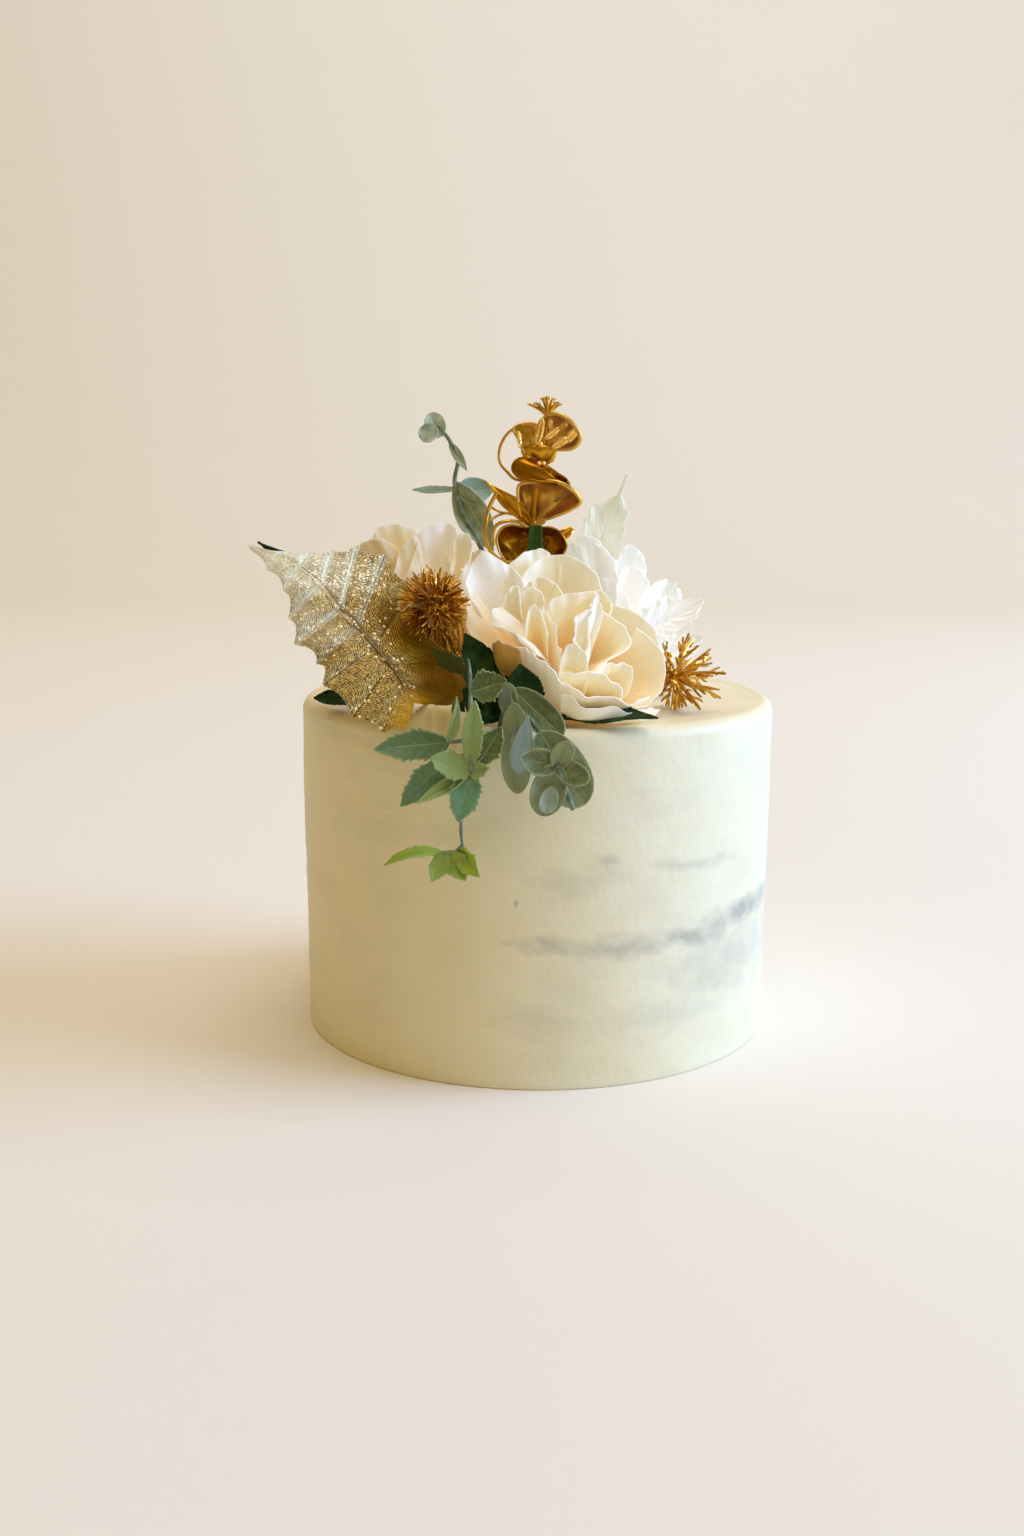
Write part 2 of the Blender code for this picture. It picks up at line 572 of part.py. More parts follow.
def make_eucalyptus(material):
    """The eucalyptus sprig that hangs over the front rim and ends in a rosette of round leaves."""
    front = Vector((0, -1, 0.25))
    front_left = Vector((-0.4, -1, 0.1))
    stem = [Vector((-0.011, -0.070, BED)), mm(-11, -76.5, 117), mm(-7.5, -84, 119), mm(-2, -92, 113.5),
            mm(3, -98.5, 106.5), mm(5.5, -101, 104.5)]
    heart = mm(5.2, -101.5, 104.5)
    leaves = [
        (mm(-7.5, -80, 119.5), mm(-6.5, -90.5, 96), front_left, 0.0085, leaf_outline, 0.001, 0.5),
        (mm(-7.5, -80, 121), mm(4.5, -87, 111.5), Vector((0.3, -1, 0.5)), 0.0100, disc_outline, 0.001, 0.4),
        (mm(-8.5, -83, 119), mm(0.5, -94, 112.0), Vector((0.1, -1, 0.8)), 0.0125, disc_outline, 0.001, 0.5),
        (mm(-4.5, -93, 105.5), mm(-2.6, -98, 117.5), front_left, 0.0045, leaf_outline, 0.001, 0.6),
        (heart, mm(2.0, -104, 92.8), front, 0.0125, disc_outline, 0.001, 0.5),
        (heart, mm(14.5, -98, 100.5), Vector((0.3, -1, 0.2)), 0.0150, disc_outline, 0.001, 0.5),
        (heart, mm(-3.2, -102.5, 107), front, 0.0090, disc_outline, 0.001, 0.5),
        (heart, mm(8.5, -104.5, 112.0), Vector((0.1, -1, -0.1)), 0.0075, disc_outline, 0.001, 0.6),
        (heart, mm(12.2, -105.5, 99.8), front, 0.0070, disc_outline, 0.001, 0.6),
    ]
    link = [mm(-3.5, -90.5, 114.5), mm(-4.8, -92.5, 109), mm(-4.5, -93, 105)]
    return make_sprig("sprig_eucalyptus", [stem, link, [heart, mm(9.3, -100, 91.5)]], leaves, material)


def make_serrated_sprig(material):
    """The light green sprig with toothed leaves that trails down the front of the cake."""
    front = Vector((0, -1, 0.25))
    front_left = Vector((-0.2, -1, 0.35))
    up = Vector((0, -0.7, 0.9))
    stem = [Vector((-0.020, -0.067, BED + 0.001)), mm(-19.3, -78, 121), mm(-19, -85, 116.5),
            mm(-19.5, -88, 109.5), mm(-18.7, -88.5, 101), mm(-19.8, -88.5, 96), mm(-21.6, -88, 85),
            mm(-21, -88.5, 77.5)]
    node = mm(-19, -88.5, 100.5)
    side_node = mm(-25.5, -87.5, 108.6)
    foot = mm(-21.2, -88.5, 78.5)
    stems = [
        stem,
        [mm(-19.2, -79, 121), mm(-19.6, -76, 127), mm(-20.2, -75.5, 131)],
        [mm(-19.5, -88, 109.5), mm(-22, -87.6, 109), side_node],
        [node, mm(-14.5, -87.5, 105.5)],
        [foot, mm(-23.5, -88.6, 76.6), mm(-27.5, -88.5, 76.5)],
    ]
    leaves = [
        (mm(-20, -76.5, 129.5), mm(-31.5, -80, 136.3), up, 0.0078, leaf_outline, 0.0005, 0.5),
        (mm(-19.2, -79, 122.5), mm(-7.8, -79, 127.5), front_left, 0.0110, leaf_outline, 0.0005, 0.5),
        (side_node, mm(-22.6, -87.5, 122), Vector((-0.7, -1, 0)), 0.0036, leaf_outline, 0.0006, 0.7),
        (side_node, mm(-46, -91.5, 107.2), front, 0.0100, leaf_outline, 0.0005, 0.5),
        (mm(-18.9, -88.4, 102.5), mm(-17.4, -94.5, 122), front, 0.0066, leaf_outline, 0.0005, 0.6),
        (mm(-15.5, -87.8, 104.5), mm(-10.5, -89, 114.5), front, 0.0072, leaf_outline, 0.0005, 0.5),
        (node, mm(-30.5, -95, 105.2), Vector((0, -1, 0.8)), 0.0076, leaf_outline, 0.0005, 0.5),
        (mm(-26.2, -88.5, 103.5), mm(-38.8, -90.5, 90.5), front, 0.0092, leaf_outline, 0.0005, 0.5),
        (node, mm(-33.5, -95.5, 92.2), Vector((0, -1, 0.6)), 0.0058, leaf_outline, 0.0005, 0.5),
        (node, mm(-21.5, -93, 85.2), Vector((0.2, -1, 0.2)), 0.0100, leaf_outline, 0.0005, 0.5),
        (node, mm(-11.8, -90.5, 103), front, 0.0056, leaf_outline, 0.0005, 0.5),
        (mm(-27, -88.5, 76.5), mm(-42.8, -91, 72.6), up, 0.0048, leaf_outline, -0.001, 0.5),
        (mm(-25.5, -88.6, 76.3), mm(-29.8, -93.5, 69.2), front, 0.0066, leaf_outline, 0.0005, 0.5),
        (mm(-23.5, -88.6, 76.6), mm(-15.2, -94.5, 70.0), front_left, 0.0090, leaf_outline, 0.0005, 0.6),
    ]
    join = [side_node, mm(-26.5, -88, 106), mm(-26.2, -88.5, 103)]
    return make_sprig("sprig_serrated", [*stems, join], leaves, material, stem_radius=0.0007)


def make_rose_leaves(material):
    """The dark green leaves that look out from under the flowers, each on the cake's top."""
    leaves = {
        # base, tip, face, width, bow
        "rose_leaf_middle": (mm(-3, -72.5, 113), mm(-5, -77.5, 130), (0.1, -1, 0.2), 0.0125, 0.0005),
        "rose_leaf_front": (mm(6, -62, 113), mm(36.5, -73.5, 114.2), (0, 0, 1), 0.0080, -0.001),
        "rose_leaf_left": (mm(-52, -42, 114.2), mm(-69.5, -45, 115.5), (0, -0.3, 1), 0.0090, 0.001),
        "leaf_green_back": (mm(-62, -34, 128), mm(-87.5, -37, 162), (-0.2, -1, -0.2), 0.0100, 0.001),
    }
    stems = {
        "rose_leaf_middle": [mm(-3.1, -72.8, 114), mm(-3, -72, 112.6), Vector((-0.003, -0.0715, BED))],
        "rose_leaf_front": [mm(9, -63, 113.1), Vector((0.006, -0.0605, BED + 0.001)),
                            Vector((0.003, -0.057, BED + 0.001))],
        "rose_leaf_left": [mm(-55, -42.5, 114.2), mm(-50, -41, 112.8), Vector((-0.046, -0.038, BED + 0.001))],
        "leaf_green_back": [mm(-63, -34.2, 129.5), mm(-60, -33, 118), Vector((-0.058, -0.032, BED))],
    }
    for name, (base, tip, face, width, bow) in leaves.items():
        leaf = blade(base, tip, Vector(face), width, leaf_outline, bow=bow, cup=0.4, wave=0.0006, rows=6,
                     thickness=LEAF_THICKNESS)
        stem = tube(smoothed(stems[name], 2), THIN_STEM_RADIUS)
        fuse(name, [leaf, stem], material)
    strip = blade(mm(-2, -12, 130), mm(-1, -9.5, 167), Vector((0, -1, 0.1)), 0.0050, strap_outline,
                  bow=0.001, cup=0.5, thickness=LEAF_THICKNESS)
    strip_stem = tube([mm(-2, -12, 131), Vector((-0.002, -0.010, BED))], STEM_RADIUS)
    fuse("leaf_strip", [strip, strip_stem], material)


def main():
    clear_scene()
    make_cake(finish_of("buttercream", (0.80, 0.74, 0.56), 0.5))
    cream = finish_of("cream_petal", (0.86, 0.74, 0.52), 0.6)
    white = finish_of("white_petal", (0.86, 0.84, 0.78), 0.6)
    gilt = finish_of("gilt", (0.52, 0.28, 0.06), 0.3, 1.0)
    gold_cloth = finish_of("gold_cloth", (0.62, 0.48, 0.24), 0.4, 0.7)
    silver_cloth = finish_of("silver_cloth", (0.72, 0.74, 0.66), 0.4, 0.3)
    dark_green = finish_of("dark_green", (0.02, 0.06, 0.03), 0.4)
    grey_green = finish_of("grey_green", (0.18, 0.27, 0.23), 0.5)
    light_green = finish_of("light_green", (0.20, 0.35, 0.20), 0.5)
    make_front_rose(cream)
    make_back_rose(cream)
    make_white_flower(white)
    make_gold_leaf(gold_cloth)
    make_silver_leaves(silver_cloth)
    make_spiky_ball(gilt)
    make_spiky_burst(gilt)
    make_gold_spray(gilt)
    make_back_sprig(grey_green)
    make_eucalyptus(grey_green)
    make_serrated_sprig(light_green)
    make_rose_leaves(dark_green)


main()
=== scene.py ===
"""The looks of a small naked cake with its topping of artificial flowers, leaves and gilded sprigs.

Metres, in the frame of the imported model: +Z up, the middle of the cake's foot at the origin, its front
towards -Y. Places on the topping are written in millimetres and pass through mm().
"""

import math

import bpy
import numpy as np
from mathutils import Matrix, Vector


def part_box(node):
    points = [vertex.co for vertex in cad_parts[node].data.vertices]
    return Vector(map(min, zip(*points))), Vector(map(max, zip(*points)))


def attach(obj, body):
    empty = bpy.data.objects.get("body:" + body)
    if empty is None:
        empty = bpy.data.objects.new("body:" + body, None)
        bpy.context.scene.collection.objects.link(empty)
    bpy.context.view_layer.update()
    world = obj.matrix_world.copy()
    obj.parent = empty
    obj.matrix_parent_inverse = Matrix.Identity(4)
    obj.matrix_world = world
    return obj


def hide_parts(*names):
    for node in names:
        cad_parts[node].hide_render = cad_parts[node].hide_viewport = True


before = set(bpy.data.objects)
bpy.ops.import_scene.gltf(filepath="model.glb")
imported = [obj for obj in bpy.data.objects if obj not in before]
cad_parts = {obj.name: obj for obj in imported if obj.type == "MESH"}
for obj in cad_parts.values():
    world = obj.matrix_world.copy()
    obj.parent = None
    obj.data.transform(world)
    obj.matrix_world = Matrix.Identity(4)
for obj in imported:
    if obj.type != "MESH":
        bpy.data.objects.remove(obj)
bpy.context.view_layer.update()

# The camera stands in front of the cake and looks slightly down
CAMERA_PLACE = (0.0, -0.5416, 0.1874)
CAMERA_PITCH = math.radians(-10.73)
CAMERA_YAW = math.radians(-0.89)
CAMERA_ROLL = math.radians(0.32)
CAMERA_LENS = 37.88
CAMERA_SENSOR = 36.0

# The cake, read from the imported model
CAKE_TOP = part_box("cake")[1].z
CAKE_TOP_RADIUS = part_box("cake")[1].x
CAKE_FOOT_RADIUS = CAKE_TOP_RADIUS - 0.0008
CAKE_RIM_ROUNDING = 0.0042
CAKE_FOOT_ROUNDING = 0.0008
CAKE_SIDES = 300
STEM_DEPTH = 0.002
SUNK = CAKE_TOP - STEM_DEPTH

# Lumps where the stems push the frosting up: x, y, height, length and width
PUCKERS = [
    (-0.0325, -0.0700, 0.0064, 0.0064, 0.0046),
    (-0.0285, -0.0745, 0.0026, 0.0040, 0.0032),
    (-0.0225, -0.0735, 0.0046, 0.0050, 0.0036),
    (0.041, -0.036, 0.0012, 0.0060, 0.0060),
    (-0.046, -0.036, 0.0016, 0.0060, 0.0045),
]
# Lumps taller than this get a ring of painted shade in the crease round them
CREASED_HEIGHT = 0.002

# Painted shade on the frosting under the gold leaf's foot, where the leaves shade it: x, y, radius and
# strength
LEAF_SHADE = (-0.0315, -0.0520, 0.0170, 0.95)

# Smears in the frosting where the sponge shows through: x, height, half length, half height and strength
SMEARS = [
    (0.066, 0.0468, 0.016, 0.0044, 0.82),
    (0.050, 0.0452, 0.016, 0.0038, 0.66),
    (0.028, 0.0446, 0.018, 0.0038, 0.50),
    (0.006, 0.0450, 0.014, 0.0030, 0.55),
    (0.060, 0.0340, 0.024, 0.0130, 0.36),
    (0.012, 0.0655, 0.014, 0.0060, 0.22),
    (0.022, 0.0700, 0.004, 0.0016, 0.38),
    (0.050, 0.0672, 0.014, 0.0022, 0.32),
    (0.000, 0.0230, 0.014, 0.0060, 0.20),
    (0.040, 0.0205, 0.026, 0.0050, 0.22),
    (-0.064, 0.1060, 0.010, 0.0040, 0.22),
    (-0.0058, 0.0583, 0.0006, 0.0012, 0.70),
]

# Thicknesses of sheets and stems
PETAL_THICKNESS = 0.00036
LEAF_THICKNESS = 0.00045
GILT_THICKNESS = 0.0006
STEM_RADIUS = 0.0010
THIN_STEM_RADIUS = 0.0007
FLOWER_STEM_RADIUS = 0.0022

# A flower's green cup, how far in front of it the petals look, and how its petals start
CORE_RADIUS = 0.0055
FOCUS_DISTANCE = 0.040
FOOT_DEPTH = 0.7 * CORE_RADIUS
PETAL_FOOT_WIDTH = 0.004
PETAL_ROWS, PETAL_COLUMNS = 34, 26
SEPALS = 5

# The gold leaf: the pairs of veins, how far the cloth puffs up and bellies, its lobes and raised veins
GOLD_LEAF_RIBS = 9
GOLD_LEAF_PUFF = 0.0030
GOLD_LEAF_BELLY = 0.003
GOLD_LEAF_LOBE = 0.0030
GOLD_LEAF_VEIN = 0.0005
GOLD_LEAF_TEETH = 90

# The gilded pieces
GILT_PLEATS = 0.0018
# How far the beads on gilt rims are lightened by a painted highlight
BEAD_HIGHLIGHT = 0.35
BALL_SPIKES = 340
TUFT_SPIKES = 26
SPIKE_RADII = np.array((0.28, 0.34, 0.38, 0.37, 0.32, 0.22)) * 0.001
BURST_ARMS = 30
GOLDEN_TURN = math.pi * (3 - math.sqrt(5))

# Side veins of a leaf and of a silver leaf, knitted rows of the gold one, and the size of its glitter
LEAF_VEINS = 6.0
SILVER_VEINS = 8.0
KNIT_ROWS = 24
GLITTER_SCALE = 850.0

# A faint glow, which is painted light, stands for the light that scatters inside thin petals and cloth;
# on gilt it brightens the painted highlights, and on the gold leaf its glints and silvered parts
PETAL_GLOW = 0.09
WHITE_GLOW = 0.20
GILT_GLOW = 0.08
GOLD_GLOW = 0.38
SILVER_GLOW = 0.22

FLOOR_COLOUR = (0.92, 0.87, 0.77)
SHARP_ANGLE = math.radians(55)
BLACK = (0.0, 0.0, 0.0)


def mm(places):
    """One place or a list of them, from millimetres to metres."""
    return np.array(places) * 0.001


def sunk(x, y):
    """A stem's end in the frosting, in millimetres."""
    return x, y, SUNK * 1000


def unit(vector):
    return np.array(vector) / np.linalg.norm(vector)


def smoothed(points, count):
    """So many points on a Catmull-Rom curve through the given ones, evenly spread over its spans."""
    knots = np.array([2 * points[0] - points[1], *points, 2 * points[-1] - points[-2]])
    place = np.linspace(0, len(points) - 1, count)
    span = np.minimum(place.astype(int), len(points) - 2)
    t = (place - span)[:, None]
    a, b, c, d = (knots[span + i] for i in range(4))
    return 0.5 * (2 * b + (c - a) * t + (2 * a - 5 * b + 4 * c - d) * t**2 + (3 * b - a - 3 * c + d) * t**3)


def uneven(points, pitch, seed, waves=7):
    """A smooth random number, mostly from -1 to 1, for each point, that changes over about one pitch."""
    draw = np.random.default_rng(seed)
    total = 0
    for _ in range(waves):
        heading = unit(draw.normal(size=3)) * draw.uniform(0.6, 1.5) * 2 * math.pi / pitch
        total = total + np.sin(points @ heading + draw.uniform(0, 2 * math.pi))
    return total / math.sqrt(waves)


def spiral(index, count):
    """One of so many directions that are spread evenly over a ball."""
    height = 1 - 2 * (index + 0.5) / count
    flat = math.sqrt(1 - height**2)
    turn = index * GOLDEN_TURN
    return np.array((flat * math.cos(turn), flat * math.sin(turn), height))


def shown(name, data):
    """A new object in the scene."""
    made = bpy.data.objects.new(name, data)
    bpy.context.scene.collection.objects.link(made)
    return made


class Piece:
    """Thin sheets, rods and balls gathered into one mesh, with marks that its materials read.

    The marks are numbers at the points: along a sheet from foot to tip, across it from -1 to 1, and a tone,
    which the materials use partly to paint light and shade.
    """

    def __init__(self):
        self.points = []
        self.faces = []
        self.slots = []
        self.marks = {"along": [], "across": [], "tone": []}
        self.count = 0

    def put(self, points, blocks, slot, along, across, tone):
        for block in blocks:
            self.faces.extend((block + self.count).tolist())
            self.slots.extend([slot] * len(block))
        self.points.append(points)
        for name, value in (("along", along), ("across", across), ("tone", tone)):
            self.marks[name].append(np.broadcast_to(np.ravel(value), len(points)))
        self.count += len(points)

    def sheet(self, grid, across, along, thickness, tone=0.0, slot=0):
        """A closed thin solid round a grid of points; across and along are its marks. It gives the rim."""
        rows, columns = grid.shape[:2]
        out = np.cross(np.gradient(grid, axis=1), np.gradient(grid, axis=0))
        out *= 0.5 * thickness / np.maximum(np.linalg.norm(out, axis=-1, keepdims=True), 1e-15)
        points = np.concatenate([(grid + out).reshape(-1, 3), (grid - out).reshape(-1, 3)])
        index = np.arange(rows * columns).reshape(rows, columns)
        front = np.stack([index[:-1, :-1], index[:-1, 1:], index[1:, 1:], index[1:, :-1]], -1).reshape(-1, 4)
        back = front[:, ::-1] + rows * columns
        edge = np.concatenate([index[0, :-1], index[:-1, -1], index[-1, :0:-1], index[:0:-1, 0]])
        following = np.roll(edge, -1)
        rim = np.stack([edge, edge + rows * columns, following + rows * columns, following], -1)
        marks = [np.tile(np.broadcast_to(mark, (rows, columns)).ravel(), 2) for mark in (along, across)]
        self.put(points, [front, back, rim], slot, *marks, tone)
        return grid.reshape(-1, 3)[edge]

    def tube(self, rings, ends, slot, along, tone):
        """A closed skin over rings of points, with one point that closes it at either end."""
        count, sides = rings.shape[:2]
        index = np.arange(count * sides).reshape(count, sides)
        after = np.roll(index, -1, axis=1)
        walls = np.stack([index[:-1], after[:-1], after[1:], index[1:]], -1).reshape(-1, 4)
        first = np.full(sides, count * sides)
        foot = np.stack([after[0], index[0], first], -1)
        cap = np.stack([index[-1], after[-1], first + 1], -1)
        self.put(np.concatenate([rings.reshape(-1, 3), ends]), [walls, foot, cap], slot, along, 0.0, tone)

    def rod(self, line, radius, slot=0, tone=0.0, sides=10):
        """A round rod along a line of points, with a radius for each point, closed by blunt ends."""
        radius = np.broadcast_to(radius, len(line))
        heading = np.gradient(line, axis=0)
        heading /= np.linalg.norm(heading, axis=1, keepdims=True)
        normal = np.cross(heading[0], (0.3, 0.5, 0.8))
        turn = 2 * math.pi * np.arange(sides) / sides
        rings = []
        for point, ahead, size in zip(line, heading, radius):
            normal = unit(normal - ahead * normal.dot(ahead))
            other = np.cross(ahead, normal)
            rings.append(point + size * (np.outer(np.cos(turn), normal) + np.outer(np.sin(turn), other)))
        ends = [line[0] - heading[0] * radius[0] * 0.5, line[-1] + heading[-1] * radius[-1] * 0.5]
        along = np.concatenate([np.repeat(np.linspace(0, 1, len(line)), sides), (0, 1)])
        self.tube(np.array(rings), ends, slot, along, tone)

    def ball(self, centre, radius, axis=(0, 0, 1), stretch=1.0, slot=0, tone=0.0):
        """A round lump, stretched along its axis."""
        rows = np.linspace(-0.5, 0.5, 12)[1:-1] * math.pi
        line = centre + np.outer(np.sin(rows) * radius * stretch, unit(axis))
        self.rod(line, np.cos(rows) * radius, slot, tone, sides=14)

    def made(self, node, slot, *finishes):
        """The object, which stands for a CAD node and rides on the root body."""
        mesh = bpy.data.meshes.new("dressed_" + node)
        mesh.from_pydata(np.concatenate(self.points), [], self.faces)
        mesh.polygons.foreach_set("material_index", self.slots)
        for name, values in self.marks.items():
            mesh.attributes.new(name, "FLOAT", "POINT").data.foreach_set("value", np.concatenate(values))
        mesh.shade_smooth()
        mesh.set_sharp_from_angle(angle=SHARP_ANGLE)
        for finish in finishes:
            mesh.materials.append(finish)
        piece = shown("dressed_" + node, mesh)
        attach(piece, "root")
        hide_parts(node)


# Materials


class Value:
    """What a node of a material gives out; each sign or method on it adds a node."""

    def __init__(self, finish, socket):
        self.finish = finish
        self.socket = socket

    def math(self, operation, *others):
        return self.finish.node("Math", (self, *others), operation=operation)

    def __add__(self, other):
        return self.math("ADD", other)

    def __sub__(self, other):
        return self.math("SUBTRACT", other)

    def __rsub__(self, other):
        return self.finish.node("Math", (other, self), operation="SUBTRACT")

    def __mul__(self, other):
        return self.math("MULTIPLY", other)

    def __truediv__(self, other):
        return self.math("DIVIDE", other)

    def __lt__(self, other):
        return self.math("LESS_THAN", other)

    def __abs__(self):
        return self.math("ABSOLUTE")

    def zigzag(self):
        """A wave of straight lines: 0.5 at whole numbers and 0 midway between them."""
        return abs(self.math("FRACT") - 0.5)

    def larger(self, other):
        return self.math("MAXIMUM", other)

    def spread(self, low, high, start=0.0, end=1.0):
        """The value taken from its range low..high to start..end, and held inside it."""
        return self.finish.node("MapRange", (self, low, high, start, end))

    def blend(self, first, second):
        """A colour between two, the first where the value is 0 and the second where it is 1."""
        return self.finish.node("Mix", {0: self, 6: first, 7: second}, 2, data_type="RGBA")


class Finish:
    """A material in the making: a Principled shader and the nodes that feed it."""

    def __init__(self, name, colour, roughness, metallic=0.0, **sockets):
        self.material = bpy.data.materials.new(name)
        self.material.use_nodes = True
        self.tree = self.material.node_tree
        self.shader = self.tree.nodes["Principled BSDF"]
        self.set(Base_Color=colour, Roughness=roughness, Metallic=metallic, **sockets)
        self.place = self.node("TexCoord", (), "Object")

    def feed(self, socket, value):
        """Links a value to a socket, or sets a plain number or colour on it."""
        if isinstance(value, Value):
            self.tree.links.new(value.socket, socket)
        elif isinstance(value, tuple) and len(socket.default_value) > len(value):
            socket.default_value = (*value, 1.0)
        else:
            socket.default_value = value

    def set(self, **sockets):
        """Feeds sockets of the shader, with _ for a space in their names."""
        for name, value in sockets.items():
            self.feed(self.shader.inputs[name.replace("_", " ")], value)

    def node(self, kind, values, output=0, **settings):
        """A new node with its first inputs, or the named ones, fed; it gives one output."""
        made = self.tree.nodes.new("ShaderNode" + kind)
        for name, setting in settings.items():
            setattr(made, name, setting)
        for key, value in values.items() if isinstance(values, dict) else enumerate(values):
            self.feed(made.inputs[key], value)
        return Value(self, made.outputs[output])

    def mark(self, name):
        return self.node("Attribute", (), "Fac", attribute_name=name)

    def parts_of(self, vector):
        split = self.node("SeparateXYZ", (vector,)).socket.node
        return [Value(self, part) for part in split.outputs]

    def vector_of(self, *parts):
        return self.node("CombineXYZ", parts)

    def stretched(self, *scales):
        return self.node("Mapping", {"Vector": self.place, "Scale": scales})

    def noise(self, scale, detail=3.0, where=None):
        inputs = {"Vector": where or self.place, "Scale": scale, "Detail": detail, "Roughness": 0.55}
        return self.node("TexNoise", inputs, "Fac")

    def cells(self, scale, where=None, output="Distance"):
        return self.node("TexVoronoi", {"Vector": where or self.place, "Scale": scale}, output)

    def bump(self, height, distance, below=None):
        inputs = {"Distance": distance, "Height": height}
        if below:
            inputs["Normal"] = below
        return self.node("Bump", inputs)

    def glow(self, colour, strength):
        self.set(Emission_Color=colour, Emission_Strength=strength)

    def let_light_through(self, share, colour):
        """Mixes in light that passes from the other side, for petals and thin leaves."""
        through = self.node("BsdfTranslucent", {"Color": colour})
        own = Value(self, self.shader.outputs[0])
        mixed = self.node("MixShader", (share, own, through))
        self.feed(self.tree.nodes["Material Output"].inputs["Surface"], mixed)


def buttercream():
    """Ivory frosting, scraped thin so that grey-brown sponge shows through in faint level smears.

    Smears have ragged edges, and the back of the cake has the same ones mirrored. The tone paints brown shade
    on it.
    """
    finish = Finish("buttercream", (0.88, 0.84, 0.66), 0.42, Subsurface_Weight=0.25, Subsurface_Scale=0.004,
                    Subsurface_Radius=(1.0, 0.8, 0.5))
    x, _, z = finish.parts_of(finish.place)
    blotches = finish.noise(38.0)
    clouds = finish.noise(1.0, 5.0, finish.stretched(30, 30, 48))
    broken = finish.noise(1.0, 5.0, finish.stretched(110, 110, 190))
    fine = finish.noise(420.0, 4.0)
    drifting = z + (clouds - 0.5) * 0.010
    ragged = (broken - 0.5) * 2.2
    smear = clouds.spread(0.50, 0.75) * 0.16
    for at_x, at_z, half_x, half_z, strength in SMEARS:
        off_x = (x - at_x) / half_x
        off_z = (drifting - at_z) / half_z
        off = (off_x * off_x + off_z * off_z).math("SQRT")
        smear = smear.larger((off + ragged).spread(0.1, 1.25, strength, 0.0))
    warm = blotches.spread(0.3, 0.7).blend((0.895, 0.855, 0.645), (0.875, 0.82, 0.575))
    # Painted shade: the left side, away from the main light, turns tan
    warm = x.spread(0.0, -0.045).blend(warm, (0.865, 0.770, 0.485))
    # Painted light: the top turns yellower, as warm light from above falls on it
    painted_top_light = z.spread(CAKE_TOP - 0.003, CAKE_TOP - 0.0005, 0.0, 0.60)
    warm = painted_top_light.blend(warm, (0.89, 0.76, 0.45))
    # Painted shade where the tone is set: under the gold leaf and in the creases round the lumps
    warm = (finish.mark("tone") * 0.65).blend(warm, (0.62, 0.45, 0.12))
    finish.set(Base_Color=smear.blend(warm, (0.38, 0.37, 0.32)), Roughness=fine.spread(0.3, 0.7, 0.38, 0.54),
               Normal=finish.bump(fine, 0.00018, finish.bump(blotches, 0.0004)))
    return finish.material


def petal_cloth(name, deep, middle, pale, white, shade, deep_shade, glow):
    """Thin petal cloth: deep in colour at the foot, paler towards a light rim, with fine streaks.

    The tone paints light and shade: at 1 white, a painted highlight, at -1 shade, and at -2 deep_shade.
    """
    finish = Finish(name, middle, 0.55, Sheen_Weight=0.15, Sheen_Roughness=0.4, Specular_IOR_Level=0.35)
    along, across, tone = (finish.mark(name) for name in ("along", "across", "tone"))
    shifted = along + (finish.noise(90.0) - 0.5) * 0.35
    body = shifted.spread(0.25, 0.75).blend(deep, middle)
    body = shifted.spread(0.70, 1.0).blend(body, pale)
    body = tone.blend(body, white)
    body = tone.spread(0.0, -1.0).blend(body, shade)
    body = tone.spread(-1.0, -2.0).blend(body, deep_shade)
    rim = abs(across).spread(0.965, 0.99).larger(along.spread(0.982, 0.995))
    body = (rim * 0.75).blend(body, white)
    veins = finish.noise(1.0, 3.0, finish.vector_of(across * 16.0, along * 3.0, tone))
    body = veins.spread(0.35, 0.75, 0.0, 0.16).blend(body, deep)
    speck = (finish.cells(330.0) < 0.10) * finish.noise(55.0, 0.0).spread(0.68, 0.70, 0.0, 0.45)
    body = speck.blend(body, (0.30, 0.20, 0.12))
    grain = finish.noise(900.0, 2.0)
    finish.set(Base_Color=body, Normal=finish.bump(grain, 0.00003, finish.bump(veins, 0.00025)))
    # A painted glow, for the light that scatters inside the thin cloth
    finish.glow(body, glow)
    finish.let_light_through(0.30, body)
    return finish.material


